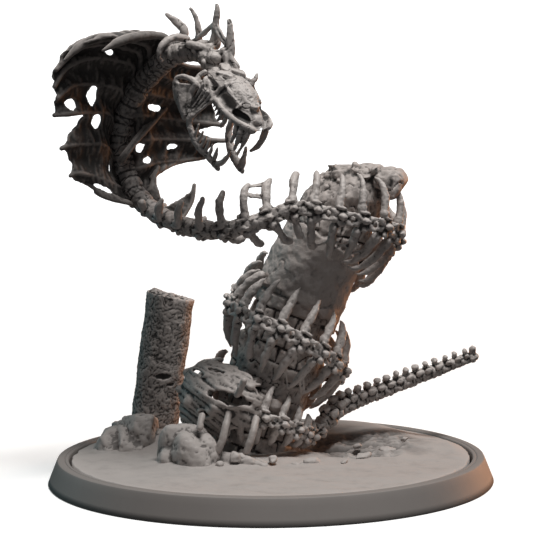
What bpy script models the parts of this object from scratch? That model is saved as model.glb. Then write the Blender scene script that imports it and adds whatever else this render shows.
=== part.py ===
"""A display miniature: the skeleton of a hooded snake, wound round a broken stone column on a round base.

The frame stands on the middle of the base's underside, with +Z up. The front of the miniature faces -Y, and its
tail points to +X. Sizes are in metres.
"""

import math

import bmesh
import bpy
import numpy as np
from mathutils import Matrix, Vector

MM = 0.001
OBJECT_NAME = "snake_skeleton_miniature"
GAP = 0.3 * MM  # clearance between neighbouring pieces
GRAIN_SEED = 7  # fixes the wear of the stones

# The round base, with the ground let into it
RIM_FOOT_RADIUS = 30.0 * MM
RIM_TOP_RADIUS = 28.7 * MM
RIM_HEIGHT = 3.4 * MM
RECESS_RADIUS = 27.2 * MM
RECESS_FLOOR = 1.2 * MM
RIM_STEPS = 40
GROUND_LEVEL = 3.2 * MM
GROUND_RINGS = 9
GROUND_STEPS = 24
GROUND_BORDER = 5.0 * MM  # width over which the swells die away to the rim
POCKET_DEPTH = 30.0 * MM  # of the cutters for the columns' feet
POCKET_STEPS = 16
# Swells of the ground: x, y, spread, height
GROUND_SWELLS = [
    (-11.8, -5.2, 3.2, 4.4),
    (-6.0, -5.0, 4.5, 1.6),
    (-22.0, 6.0, 3.8, 4.0),
    (-14.5, 7.5, 4.5, 2.6),
    (17.0, 12.0, 7.0, 1.6),
    (-8.0, 19.0, 5.0, 1.6),
]

# The column leans and bends to the right, and its top is broken
COLUMN_AXIS = [(-3.0, 6.0, 1.5), (-1.1, 6.0, 9.7), (5.2, 6.0, 26.4), (8.7, 6.0, 34.0), (12.6, 6.0, 42.4)]
# Its radius, by share of its length from the foot
COLUMN_RADII = [(0.0, 6.3), (0.5, 6.0), (0.85, 6.4), (1.0, 6.1)]
LEVEL_FOOT = 0.2  # share of a column's length over which its rings turn level towards the foot
LEVEL_TOP = 0.4  # the same towards the top
COLUMN_STEPS = 16
COLUMN_RINGS = 12
COLUMN_WEAR = 0.35 * MM
COLUMN_LIP = 1.0 * MM  # the broken block that hangs over at the right of the top
COLUMN_LIP_START = 0.85  # share of the length at which it starts
COLUMN_LIP_SLOPE = 0.1
BROKEN_TOP_SHARES = (0.65, 0.25)  # radii of the rings on a broken top, as shares of its edge's
STUMP_AXIS = [(-17.2, 13.0, 1.5), (-13.9, 13.0, 24.0)]
STUMP_RADIUS = 3.5 * MM
STUMP_STEPS = 12
STUMP_RINGS = 7
STUMP_WEAR = 0.25 * MM
STUMP_SLANT = 1.6 * MM  # how far its broken top rises to the left

# The spine's route. Its tail and neck pass through points, and its coil turns about the column's axis:
# turn from +X in degrees, height along the axis and radius
TAIL_ROUTE = [(29.0, 11.5, 15.1), (26.4, 11.4, 14.3), (18.4, 10.0, 11.6), (11.0, 7.6, 9.2), (8.6, 5.4, 8.2)]
TAIL_DORSAL = (-0.15, -0.25, 0.95)
COIL_KEYS = [
    (-20, 6.1, 8.7),
    (-90, 7.6, 9.3),
    (-180, 6.6, 9.3),
    (-270, 11.2, 9.2),
    (-360, 15.8, 8.9),
    (-450, 19.4, 9.0),
    (-540, 20.0, 8.6),
    (-630, 27.3, 9.0),
    (-720, 36.2, 8.9),
    (-785, 37.8, 9.4),
]
COIL_STEP = 30  # degrees between the points of the coil's route
NECK_ROUTE = [
    (10.2, -3.0, 35.4),
    (3.6, -4.0, 36.6),
    (-2.1, -4.2, 34.7),
    (-7.6, -2.3, 33.6),
    (-13.3, 0.8, 34.8),
    (-17.7, 3.8, 37.7),
    (-20.0, 5.6, 42.8),
    (-19.9, 5.3, 48.4),
    (-17.2, 3.6, 53.7),
    (-13.4, 0.6, 56.9),
    (-10.8, -1.6, 57.7),
    (-8.3, -4.3, 57.2),
    (-6.9, -6.2, 55.3),
]
# The side that the neck's short spines point to, at each point of its route
NECK_DORSALS = [
    (0.25, -0.95, -0.1),
    (0.0, -1.0, 0.0),
    (-0.1, -0.95, -0.3),
    (-0.1, -0.6, -0.8),
    (-0.4, -0.05, -0.9),
    (-0.7, 0.4, -0.6),
    (-0.7, 0.7, -0.2),
    (-0.68, 0.7, 0.2),
    (-0.52, 0.62, 0.6),
    (-0.25, 0.4, 0.85),
    (0.05, 0.15, 0.98),
    (0.25, -0.1, 0.95),
    (0.4, -0.35, 0.8),
]
ROUTE_STEPS = 12

# Vertebrae, by arc length from the tail's tip: their spacing, half width and half height
VERTEBRA_KEYS = [
    (0.0, 1.2, 0.75, 0.7),
    (12.0, 1.7, 0.95, 0.9),
    (24.0, 1.9, 1.15, 1.2),
    (40.0, 2.9, 1.3, 1.3),
    (50.0, 3.3, 1.45, 1.4),
    (168.0, 3.3, 1.4, 1.35),
    (193.0, 3.0, 1.25, 1.25),
    (223.0, 2.7, 1.2, 1.2),
]
WIDEST = 0.1  # how far a vertebra's widest place lies before its middle, as a share of the spacing
WAIST = 0.72  # width of the spine between two vertebrae, as a share of the vertebra's
KEEL = 0.45  # height at which the side of a vertebra turns over, as a share of its half height
SPINE_RISE = 0.6  # how far a neural spine stands out, as a share of the vertebra's half height
BLADE_THICKNESS = 1.2 * MM
BLADE_LENGTH = 0.22  # half length of a blade's end along the spine, as a share of the spacing
BLADE_SHARE = 0.45  # size of a whole neural spine's end, as a share of its root

# Ribs, by arc length: how far they reach sideways and how deep they curve to the belly
RIGHT_RIB_KEYS = [
    (27.0, 1.5, 0.7),
    (29.0, 2.0, 1.0),
    (38.0, 4.2, 2.2),
    (52.0, 5.4, 2.8),
    (155.0, 5.3, 2.9),
    (166.0, 4.6, 3.2),
    (178.0, 4.0, 2.7),
    (188.0, 3.0, 2.2),
]
LEFT_RIB_KEYS = [
    (24.0, 1.4, 0.7),
    (31.0, 2.3, 1.3),
    (38.0, 3.9, 2.2),
    (52.0, 5.4, 2.8),
    (149.5, 5.4, 2.8),
    (152.5, 3.6, 1.6),
    (156.0, 4.6, 2.6),
    (161.0, 4.2, 2.6),
    (168.0, 3.0, 2.4),
    (188.0, 2.4, 1.8),
]
FIRST_RIB = 30.0 * MM  # arc length from which ribs grow
RIB_PLACE = 0.15  # how far a rib's root lies beyond its vertebra's middle, as a share of the spacing
RIB_ANGLES = (35, 70, 105)  # degrees round from the back, at a rib's bends and its tip
FULL_SPACING = 3.2  # spacing of the vertebrae from which the ribs have their full thickness
RIB_ROOT = (0.95, 1.15)  # thickness along the spine and across the rib
RIB_TIP = (0.55, 0.55)
RIB_LEAN = 0.9  # how far the tips lean to the tail
COLUMN_CLEARANCE = 0.35 * MM

# Where the tail, the coil and the free neck end, by arc length, and into how many lengths they are divided
TAIL_END = 25.0
COIL_END = 155.0
COIL_LENGTHS = 8
NECK_END = 188.5
NECK_LENGTHS = 2
HOOD_MIDDLE = 205.0  # where the two lengths of spine in the hood meet

# The hood's two halves: arc length of each rib's root, then its tip
HOOD_RIGHT_RIBS = [
    (189.5, (-20.0, 1.0, 38.0)),
    (192.0, (-26.2, -2.5, 41.3)),
    (195.5, (-27.4, -4.0, 44.9)),
    (199.5, (-28.0, -5.0, 49.1)),
    (203.0, (-27.8, -5.5, 52.6)),
    (206.0, (-27.5, -5.5, 55.0)),
    (208.5, (-26.0, -5.5, 57.2)),
    (211.0, (-21.6, -5.4, 59.4)),
    (213.5, (-17.4, -4.6, 59.9)),
]
HOOD_LEFT_RIBS = [
    (189.5, (-10.6, 4.6, 39.6)),
    (191.5, (-14.6, 8.0, 40.6)),
    (194.5, (-8.8, 12.6, 43.4)),
    (198.5, (-5.6, 12.2, 45.8)),
    (201.5, (-6.2, 12.5, 48.9)),
    (204.5, (-6.7, 12.0, 51.9)),
    (207.5, (-7.2, 10.5, 54.2)),
    (210.5, (-7.6, 8.0, 56.0)),
]
HOOD_ROWS = 6  # cells from the spine to the ribs' tips
HOOD_THICKNESS = 0.6 * MM
HOOD_BOW = 1.6 * MM  # how far each half bulges backwards
HOOD_RIDGE = 0.25 * MM  # how far the ribs stand out of the sheet
HOOD_TEAR = 0.8  # reach of the torn edge between two ribs, as a share of the ribs'
HOOD_ROOT_GAP = 1.75 * MM  # from the spine's centre line to the sheet
# Holes worn in each half: first column, last column, first row, last row, counted in half ribs and rows
HOOD_RIGHT_HOLES = [(5, 6, 2, 4), (9, 10, 1, 2), (13, 13, 2, 3), (3, 3, 1, 2)]
HOOD_LEFT_HOLES = [(5, 6, 2, 3), (9, 9, 1, 3), (11, 11, 3, 4), (2, 2, 1, 2)]

# The long spines over the neck's last bend: arc length of the root, then the tip
CREST_SPINES = [
    (214.0, (-13.2, 0.2, 62.6)),
    (217.0, (-9.9, -2.8, 62.8)),
    (219.7, (-6.6, -5.0, 63.5)),
    (222.3, (-4.7, -7.0, 61.3)),
]
CREST_STEPS = ((0.4, 1.3), (1.0, 0.5))  # share of the length, and thickness there

# Dried skin left over the front of the lowest turn
SKIN_START = 39.5
SKIN_END = 52.0
SKIN_ANGLES = (-42, 80)
SKIN_COLUMNS = 6
SKIN_ROWS = 7
SKIN_LIFT = 3.0 * MM
SKIN_MARGIN = 0.9 * MM
SKIN_THICKNESS = 0.6 * MM
SKIN_HOLES = [(1, 1, 1, 1), (2, 3, 5, 5), (4, 4, 2, 3)]

# The head, in its own axes: forwards, to its left, and up, from the joint with the neck
HEAD_ORIGIN = (-6.5, -6.8, 54.9)
HEAD_FORWARD = (0.56, -0.57, -0.60)
HEAD_LEFT = (0.713, 0.70, 0.0)
# Rounded bodies of the skull: centre, then half sizes
SKULL_LUMPS = [
    ((1.9, 0.0, 0.0), (2.1, 1.7, 1.5)),
    ((4.8, 0.0, 0.6), (2.6, 2.3, 1.4)),
    ((7.5, 0.0, 0.8), (2.7, 1.7, 1.6)),
    ((9.9, 0.0, 0.0), (1.4, 1.3, 1.5)),
]
LUMP_STEPS = (8, 6)
# Bars on each side of the skull: start, end, thickness at the start and at the end
SKULL_BARS = [
    ((1.6, 1.2, 0.2), (-1.0, 3.9, -2.4), 1.3, 1.2),
    ((-1.1, 3.9, -2.2), (1.9, 3.7, -4.6), 1.3, 1.0),
    ((4.3, 1.7, 0.9), (4.3, 3.3, -1.2), 1.1, 1.0),
    ((4.0, 3.2, -1.0), (8.2, 2.5, -1.9), 1.0, 1.2),
    ((7.9, 2.6, -1.8), (11.3, 0.9, -1.4), 1.2, 1.1),
    ((7.8, 1.2, 0.6), (7.6, 2.6, -1.8), 0.9, 1.0),
    ((4.0, 1.9, 0.9), (4.4, 2.8, 2.9), 1.3, 0.4),
]
BAR_SIDES = 5
JAW_SIDES = 4
JAW_CORNER = 0.55  # size of the rounded corners of the jaw, as a share of its thickness
TOOTH_SIDES = 4
TOOTH_THICKNESS = 0.75
TOOTH_POINT = 0.3
TOOTH_SET = 0.3  # how deep a tooth's root is set in the bone
TOOTH_LEAN = 0.5  # how far a tooth's tip lies behind its root
# Teeth: places forwards and sideways, the level of their roots, and their length
UPPER_TEETH = [(4.9, 3.05), (6.2, 2.85), (7.5, 2.6), (8.8, 2.1), (9.9, 1.6)]
UPPER_TOOTH_TOP = -1.8
UPPER_TOOTH_LENGTH = 1.9
FANG_PLACE = (11.0, 1.0)
FANG_TOP = -1.3
FANG_LENGTH = 3.2
# One half of the lower jaw, from its hinge to its tip
JAW_ROUTE = [(2.2, 3.7, -5.7), (3.8, 3.8, -7.5), (6.9, 3.2, -8.9), (9.6, 2.1, -8.9)]
JAW_THICKNESS = (1.4, 1.6, 1.5, 0.9)
LOWER_TEETH = [(4.6, 3.65), (5.7, 3.4), (6.8, 3.2), (7.8, 2.85)]
LOWER_TOOTH_FOOT = -8.4
LOWER_TOOTH_LENGTH = 2.0
FRONT_TOOTH = (8.8, 2.4)
FRONT_TOOTH_LENGTH = 2.8

# Colours and roughness of the finish
BONE = ((0.28, 0.25, 0.23), 0.75)
SKIN = ((0.20, 0.18, 0.165), 0.8)
STONE = ((0.22, 0.20, 0.19), 0.9)
EARTH = ((0.17, 0.15, 0.14), 0.95)
RIM = ((0.10, 0.095, 0.09), 0.6)


# ---- geometry -------------------------------------------------------------------------------------------


def unit(vectors):
    return vectors / np.linalg.norm(vectors, axis=-1, keepdims=True)


def smooth_curve(points, steps):
    """A Catmull-Rom curve through the points, with this many steps from each point to the next."""
    points = np.asarray(points, float)
    padded = np.vstack([2 * points[0] - points[1], points, 2 * points[-1] - points[-2]])
    t = np.linspace(0, 1, steps, endpoint=False)[:, None]
    pieces = []
    for a, b, c, d in zip(padded, padded[1:], padded[2:], padded[3:]):
        pieces.append(
            0.5 * (2 * b + (c - a) * t + (2 * a - 5 * b + 4 * c - d) * t**2 + (3 * b - a - 3 * c + d) * t**3)
        )
    return np.vstack(pieces + [points[-1:]])


def arc_lengths(points):
    return np.r_[0, np.cumsum(np.linalg.norm(np.diff(points, axis=0), axis=1))]


def read_along(lengths, values, where):
    """The rows of values, read at these places along the lengths."""
    return np.stack([np.interp(where, lengths, values[:, k]) for k in range(values.shape[1])], axis=-1)


def key_value(keys, column, where):
    keys = np.array(keys, float)
    return np.interp(where, keys[:, 0], keys[:, column])


def column_axis(heights):
    """Points of the column's axis and its directions there, at heights along it in metres."""
    axis = smooth_curve(np.array(COLUMN_AXIS) * MM, ROUTE_STEPS)
    lengths = arc_lengths(axis)
    directions = unit(np.gradient(axis, axis=0))
    return read_along(lengths, axis, heights), unit(read_along(lengths, directions, heights))


def coil_route():
    """Points of the coil round the column's axis, and the outward direction at each."""
    keys = np.array(COIL_KEYS, float)
    turns = np.arange(keys[0, 0], keys[-1, 0] - 1, -COIL_STEP)
    smooth_keys = smooth_curve(keys, ROUTE_STEPS)[::-1]
    heights = np.interp(turns, smooth_keys[:, 0], smooth_keys[:, 1]) * MM
    radii = np.interp(turns, smooth_keys[:, 0], smooth_keys[:, 2]) * MM
    centres, directions = column_axis(heights)
    across = unit(np.cross([0.0, 1.0, 0.0], directions))
    away = np.cross(directions, across)
    angle = np.radians(turns)[:, None]
    outward = across * np.cos(angle) + away * np.sin(angle)
    return centres + outward * radii[:, None], outward


class Spine:
    """The centre line of the backbone, with its directions: along (to the head), dorsal and right."""

    def __init__(self):
        coil, outward = coil_route()
        tail = np.array(TAIL_ROUTE) * MM
        neck = np.array(NECK_ROUTE) * MM
        tail_dorsals = np.tile(TAIL_DORSAL, (len(tail), 1))
        self.points = smooth_curve(np.vstack([tail, coil, neck]), ROUTE_STEPS)
        self.dorsals = smooth_curve(np.vstack([tail_dorsals, outward, NECK_DORSALS]), ROUTE_STEPS)
        self.lengths = arc_lengths(self.points)
        self.tangents = unit(np.gradient(self.points, axis=0))
        self.end = self.lengths[-1]

    def frame(self, where):
        """Centre, along, dorsal and right at arc lengths given in metres."""
        centre = read_along(self.lengths, self.points, where)
        along = unit(read_along(self.lengths, self.tangents, where))
        dorsal = read_along(self.lengths, self.dorsals, where)
        dorsal = unit(dorsal - along * np.sum(dorsal * along, axis=-1, keepdims=True))
        return centre, along, dorsal, np.cross(along, dorsal)

    def stations(self, start, stop):
        """The arc lengths, in metres, of the vertebrae between two places given in millimetres."""
        places = []
        where = VERTEBRA_KEYS[0][1] / 2
        while where * MM < self.end:
            places.append(where)
            where += key_value(VERTEBRA_KEYS, 1, where)
        return [place * MM for place in places if start <= place < stop]


SPINE = Spine()


def column_distance(point):
    """Distance of a point from the column's axis, and the column's radius beside it."""
    axis = smooth_curve(np.array(COLUMN_AXIS) * MM, ROUTE_STEPS)
    lengths = arc_lengths(axis)
    gaps = np.linalg.norm(axis - point, axis=1)
    nearest = int(np.argmin(gaps))
    return gaps[nearest], key_value(COLUMN_RADII, 1, lengths[nearest] / lengths[-1]) * MM


# ---- objects --------------------------------------------------------------------------------------------


def clear_scene():
    for obj in list(bpy.data.objects):
        bpy.data.objects.remove(obj, do_unlink=True)


def finish(name, colour, roughness):
    """A Principled material in this colour, made once."""
    material = bpy.data.materials.get(name) or bpy.data.materials.new(name)
    material.use_nodes = True
    shader = material.node_tree.nodes["Principled BSDF"]
    shader.inputs["Base Color"].default_value = (*colour, 1.0)
    shader.inputs["Roughness"].default_value = roughness
    shader.inputs["Metallic"].default_value = 0.0
    return material


def add_object(name, mesh_data, look, collection):
    obj = bpy.data.objects.new(name, mesh_data)
    obj.data.materials.clear()
    obj.data.materials.append(finish(f"{name}_finish", *look))
    collection.objects.link(obj)
    return obj


def add_bmesh(name, bm, look, collection):
    """An object of this bmesh, with its faces turned outwards."""
    bmesh.ops.recalc_face_normals(bm, faces=bm.faces)
    data = bpy.data.meshes.new(name)
    bm.to_mesh(data)
    bm.free()
    return add_object(name, data, look, collection)


def loft(bm, rings):
    """Joins rings of points, each (count, 3), into a closed body with a face at each end."""
    rows = [[bm.verts.new(point) for point in ring] for ring in rings]
    for low, high in zip(rows, rows[1:]):
        for k in range(len(low)):
            after = (k + 1) % len(low)
            bm.faces.new((low[k], low[after], high[after], high[k]))
    bm.faces.new(rows[0][::-1])
    bm.faces.new(rows[-1])
    return rows


def extrude_to(bm, face, corners):
    """Extrudes one face, moves its new corners to these places, and returns the face at the end."""
    end = bmesh.ops.extrude_discrete_faces(bm, faces=[face])["faces"][0]
    for vert, place in zip(end.verts, corners):
        vert.co = place
    return end


def side_faces(end):
    """The faces beside an end face, one for each of its edges."""
    return [next(face for face in edge.link_faces if face is not end) for edge in end.edges]


def extrude_sections(bm, sections):
    """Extrudes a closed body through its sections, and returns the side faces of each step."""
    verts = [bm.verts.new(corner) for corner in sections[0]]
    end = extrude_to(bm, bm.faces.new(verts), sections[1])
    bm.faces.new(verts[::-1])
    steps = [side_faces(end)]
    for section in sections[2:]:
        end = extrude_to(bm, end, section)
        steps.append(side_faces(end))
    return steps


def cut(obj, cutter):
    """Cuts an object with another, which is a helper and not part of the model."""
    cutter.hide_render = True
    cutter.display_type = "WIRE"
    modifier = obj.modifiers.new(cutter.name, "BOOLEAN")
    modifier.operation = "DIFFERENCE"
    modifier.object = cutter


# ---- base, ground and columns ---------------------------------------------------------------------------


def make_base_rim(collection):
    """A turned dish: a cone-sided disc with a flat rim and a recess for the ground."""
    bm = bmesh.new()
    profile = [
        (0.0, RECESS_FLOOR),
        (RECESS_RADIUS, RECESS_FLOOR),
        (RECESS_RADIUS, RIM_HEIGHT),
        (RIM_TOP_RADIUS, RIM_HEIGHT),
        (RIM_FOOT_RADIUS, 0.0),
        (0.0, 0.0),
    ]
    corners = [bm.verts.new((radius, 0.0, height)) for radius, height in profile]
    for first, second in zip(corners, corners[1:]):
        bm.edges.new((first, second))
    rim = add_bmesh("base_rim", bm, RIM, collection)
    screw = rim.modifiers.new("turn", "SCREW")
    screw.steps = RIM_STEPS
    screw.render_steps = RIM_STEPS
    screw.use_merge_vertices = True
    screw.merge_threshold = 0.01 * MM
    return rim


def ground_height(x, y):
    """Height of the ground's surface over a point: its level, with swells where rubble and sand pile up."""
    height = GROUND_LEVEL
    for centre_x, centre_y, spread, rise in GROUND_SWELLS:
        distance = math.hypot(x / MM - centre_x, y / MM - centre_y) / spread
        height += rise * MM * math.exp(-(distance**2))
    edge = min(1.0, (RECESS_RADIUS - math.hypot(x, y)) / GROUND_BORDER)
    return GROUND_LEVEL + (height - GROUND_LEVEL) * max(0.0, edge)


def wear(points, size, amount, seed):
    """Random steps in the distance from a centre line, as factors that repeat for the same seed."""
    source = np.random.default_rng(seed)
    return 1 + source.uniform(-1, 1, points) * amount / size


def column_rings(axis, radius_of, steps, rings, worn, seed):
    """Rings of points round an axis from its foot to its top, with worn sides."""
    axis = np.array(axis) * MM
    route = smooth_curve(axis, ROUTE_STEPS)
    lengths = arc_lengths(route)
    places = np.linspace(0, lengths[-1], rings)
    centres = read_along(lengths, route, places)
    directions = unit(read_along(lengths, unit(np.gradient(route, axis=0)), places))
    across = unit(np.cross([0.0, 1.0, 0.0], directions))
    away = np.cross(directions, across)
    angle = np.linspace(0, 2 * math.pi, steps, endpoint=False)
    outward = across[:, None] * np.cos(angle)[:, None] + away[:, None] * np.sin(angle)[:, None]
    share = np.linspace(0, 1, rings)
    radii = radius_of(share[:, None], angle[None, :])
    radii = radii * wear((rings, steps), radii.mean(), worn, seed)
    offsets = outward * radii[..., None]
    # The lean dies away towards both ends, so that foot and top are level
    lean = np.clip(share / LEVEL_FOOT, 0, 1) * np.clip((1 - share) / LEVEL_TOP, 0, 1)
    offsets[..., 2] *= lean[:, None]
    return centres[:, None] + offsets, centres, outward


def close_broken_top(rings, centre, rough, seed):
    """Adds rings that run in over the top, with an uneven broken surface."""
    source = np.random.default_rng(seed)
    closed = list(rings)
    for share in BROKEN_TOP_SHARES:
        ring = centre + (rings[-1] - centre) * share
        ring[:, 2] += source.uniform(-rough, rough, len(ring))
        closed.append(ring)
    return closed


def make_main_column(collection):
    def radius_of(share, angle):
        radius = key_value(COLUMN_RADII, 1, share) * MM
        rise = np.clip((share - COLUMN_LIP_START) / COLUMN_LIP_SLOPE, 0, 1)
        lip = COLUMN_LIP * np.clip(np.cos(angle), 0, 1) ** 4 * rise
        return radius + lip

    rings, centres, _ = column_rings(
        COLUMN_AXIS, radius_of, COLUMN_STEPS, COLUMN_RINGS, COLUMN_WEAR, GRAIN_SEED
    )
    bm = bmesh.new()
    loft(bm, close_broken_top(rings, centres[-1], COLUMN_WEAR, GRAIN_SEED + 1))
    return add_bmesh("main_column", bm, STONE, collection)


def make_stump_column(collection):
    def radius_of(share, angle):
        return np.full(np.broadcast_shapes(share.shape, angle.shape), STUMP_RADIUS)

    rings, centres, outward = column_rings(
        STUMP_AXIS, radius_of, STUMP_STEPS, STUMP_RINGS, STUMP_WEAR, GRAIN_SEED + 2
    )
    rings[-1][:, 2] -= outward[-1, :, 0] * STUMP_SLANT / 2
    bm = bmesh.new()
    loft(bm, close_broken_top(rings, centres[-1], STUMP_WEAR, GRAIN_SEED + 3))
    return add_bmesh("stump_column", bm, STONE, collection)


def make_ground(collection, cutters, columns):
    """A round insert whose top follows the ground's height, cut out for the feet of the columns."""
    bm = bmesh.new()
    radius = RECESS_RADIUS - GAP
    angle = np.linspace(0, 2 * math.pi, GROUND_STEPS, endpoint=False)
    circle = np.stack([np.cos(angle), np.sin(angle)], axis=1)
    rings = [np.c_[circle * radius, np.full(GROUND_STEPS, RECESS_FLOOR + GAP)]]
    for share in np.linspace(1, 1 / GROUND_RINGS, GROUND_RINGS):
        flat = circle * radius * share
        rings.append(np.c_[flat, [ground_height(x, y) for x, y in flat]])
    loft(bm, rings)
    ground = add_bmesh("ground", bm, EARTH, collection)
    for name, axis, pocket_radius in columns:
        foot, above = np.array(axis[0]) * MM, np.array(axis[1]) * MM
        bm = bmesh.new()
        bmesh.ops.create_cone(
            bm,
            cap_ends=True,
            segments=POCKET_STEPS,
            radius1=pocket_radius,
            radius2=pocket_radius,
            depth=POCKET_DEPTH,
        )
        pocket = add_bmesh(f"{name}_pocket", bm, EARTH, cutters)
        pocket.rotation_mode = "QUATERNION"
        pocket.rotation_quaternion = Vector((0, 0, 1)).rotation_difference(Vector(above - foot))
        pocket.location = foot
        cut(ground, pocket)
    return ground


# ---- backbone and ribs ----------------------------------------------------------------------------------


def half_section(where, side, share):
    """Corners of one half of the backbone: inner top, outer top, outer bottom, inner bottom."""
    centre, _, dorsal, right = SPINE.frame(where)
    width = key_value(VERTEBRA_KEYS, 2, where / MM) * MM * share
    height = key_value(VERTEBRA_KEYS, 3, where / MM) * MM * share
    inner = side * right * GAP / 2
    outer = side * right * width
    return [
        centre + inner + dorsal * height,
        centre + outer + dorsal * height * KEEL,
        centre + outer - dorsal * height * KEEL,
        centre + inner - dorsal * height,
    ]


def whole_section(where, share):
    """Corners of the whole backbone: top, then round by the right side."""
    centre, _, dorsal, right = SPINE.frame(where)
    width = key_value(VERTEBRA_KEYS, 2, where / MM) * MM * share
    height = key_value(VERTEBRA_KEYS, 3, where / MM) * MM * share
    top, keel = dorsal * height, dorsal * height * KEEL
    return [
        centre + top,
        centre + right * width + keel,
        centre + right * width - keel,
        centre - top,
        centre - right * width - keel,
        centre - right * width + keel,
    ]


def rib_centres(where, side, keys):
    """Places of a rib at each of its angles, kept clear of the column, and the directions square to it."""
    centre, along, dorsal, right = SPINE.frame(where)
    reach = key_value(keys, 1, where / MM) * MM
    depth = key_value(keys, 2, where / MM) * MM
    places = [centre]
    for degrees in RIB_ANGLES:
        angle = math.radians(degrees)
        lean = RIB_LEAN * MM * (degrees / RIB_ANGLES[-1]) ** 1.5 * min(1.0, reach / (4 * MM))
        place = centre + side * right * reach * math.sin(angle) - along * lean
        drop = depth * (1 - math.cos(angle))
        gap, radius = column_distance(place - dorsal * drop)
        least = radius + COLUMN_WEAR + COLUMN_CLEARANCE + RIB_ROOT[1] * MM / 2
        if gap < least:
            drop -= least - gap
        places.append(place - dorsal * drop)
    courses = unit(np.gradient(np.array(places), axis=0))[1:]
    outward = unit(np.cross(along, courses)) * side
    return places[1:], np.cross(courses, outward) * side, outward


def grow_rib(bm, face, where, side, keys):
    """Extrudes a rib from the outer side of a vertebra, slimmer where the vertebrae stand close."""
    size = min(1.0, key_value(VERTEBRA_KEYS, 1, where / MM) / FULL_SPACING) * MM / 2
    shares = np.linspace(0, 1, len(RIB_ANGLES))
    for share, place, along, outward in zip(shares, *rib_centres(where, side, keys)):
        length = (RIB_ROOT[0] + (RIB_TIP[0] - RIB_ROOT[0]) * share) * size
        across = (RIB_ROOT[1] + (RIB_TIP[1] - RIB_ROOT[1]) * share) * size
        corners = section_like(face, place, along * length, outward * across)
        face = extrude_to(bm, face, corners)


def section_like(face, place, along, across):
    """Four corners round a place, in the order that lies most like the face's own corners."""
    offsets = np.array([vert.co for vert in face.verts]) - np.array(face.calc_center_median())
    square = np.array([-along - across, along - across, along + across, across - along])
    ways = [np.roll(way, turn, axis=0) for way in (square, square[::-1]) for turn in range(4)]
    return place + max(ways, key=lambda way: np.sum(way * offsets))


def spine_sections(stations, section):
    """Sections of a length of backbone: wide at each vertebra and narrow between them."""
    pitch = stations[1] - stations[0]
    sections = [section(stations[0] - pitch / 2 + GAP / 2, WAIST)]
    for where in stations:
        pitch = key_value(VERTEBRA_KEYS, 1, where / MM) * MM
        room = GAP / 2 if where == stations[-1] else 0
        sections.append(section(where - WIDEST * pitch, 1.0))
        sections.append(section(where + pitch / 2 - room, WAIST))
    return sections


def make_spine_half(name, start, stop, side, keys, collection):
    """One side of a length of the rib cage: half of each vertebra, with its rib and half its neural spine."""
    bm = bmesh.new()
    stations = SPINE.stations(start, stop)
    sections = spine_sections(stations, lambda where, share: half_section(where, side, share))
    steps = extrude_sections(bm, sections)
    for where, faces in zip(stations, steps[1::2]):
        pitch = key_value(VERTEBRA_KEYS, 1, where / MM) * MM
        if where > FIRST_RIB:
            grow_rib(bm, faces[1], where + RIB_PLACE * pitch, side, keys)
        grow_half_blade(bm, faces[0], where, pitch, side)
    return add_bmesh(name, bm, BONE, collection)


def grow_half_blade(bm, face, where, pitch, side):
    """Extrudes half of the short neural spine on a vertebra's back."""
    centre, along, dorsal, right = SPINE.frame(where)
    height = key_value(VERTEBRA_KEYS, 3, where / MM) * MM
    top = centre + dorsal * height * (1 + SPINE_RISE)
    corners = []
    for vert in face.verts:
        offset = np.array(vert.co) - centre
        ahead = 1 if offset @ along > RIB_PLACE * pitch else -1
        away = 1 if abs(offset @ right) > GAP else 0
        across = side * right * (GAP / 2 + away * BLADE_THICKNESS / 2)
        corners.append(top + across + along * ahead * BLADE_LENGTH * pitch)
    extrude_to(bm, face, corners)


def make_whole_spine(name, start, stop, collection, crest=()):
    """A length of the backbone in one piece, with short neural spines and any long ones given."""
    bm = bmesh.new()
    stations = SPINE.stations(start, stop)
    steps = extrude_sections(bm, spine_sections(stations, whole_section))
    for where, faces in zip(stations, steps[1::2]):
        pitch = key_value(VERTEBRA_KEYS, 1, where / MM) * MM
        grow_whole_blade(bm, faces[0], where, pitch, crest)
    return add_bmesh(name, bm, BONE, collection)


def grow_whole_blade(bm, face, where, pitch, crest):
    """Extrudes a vertebra's neural spine: a long bent one where the crest names its root, else a short one."""
    centre, _, dorsal, _ = SPINE.frame(where)
    height = key_value(VERTEBRA_KEYS, 3, where / MM) * MM
    middle = np.array(face.calc_center_median())
    spread = [np.array(vert.co) - middle for vert in face.verts]
    for root, tip in crest:
        if abs(root * MM - where) <= pitch / 2:
            for share, size in CREST_STEPS:
                place = middle + (np.array(tip) * MM - middle) * share
                face = extrude_to(bm, face, [place + unit(offset) * size * MM / 2 for offset in spread])
            return
    place = centre + dorsal * height * (1 + SPINE_RISE)
    extrude_to(bm, face, [place + offset * BLADE_SHARE for offset in spread])


# ---- hood and skin --------------------------------------------------------------------------------------


def make_torn_sheet(name, grid, holes, thickness, look, collection):
    """A sheet over a grid of points, (columns, rows, 3), without the cells that the holes name."""
    bm = bmesh.new()
    verts = [[bm.verts.new(point) for point in column] for column in grid]
    for column in range(len(grid) - 1):
        for row in range(len(grid[0]) - 1):
            if any(a <= column <= b and c <= row <= d for a, b, c, d in holes):
                continue
            low, high = verts[column], verts[column + 1]
            bm.faces.new((low[row], high[row], high[row + 1], low[row + 1]))
    loose = [vert for vert in bm.verts if not vert.link_faces]
    bmesh.ops.delete(bm, geom=loose, context="VERTS")
    sheet = add_bmesh(name, bm, look, collection)
    solid = sheet.modifiers.new("thickness", "SOLIDIFY")
    solid.thickness = thickness
    solid.offset = 0.0
    return sheet


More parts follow.
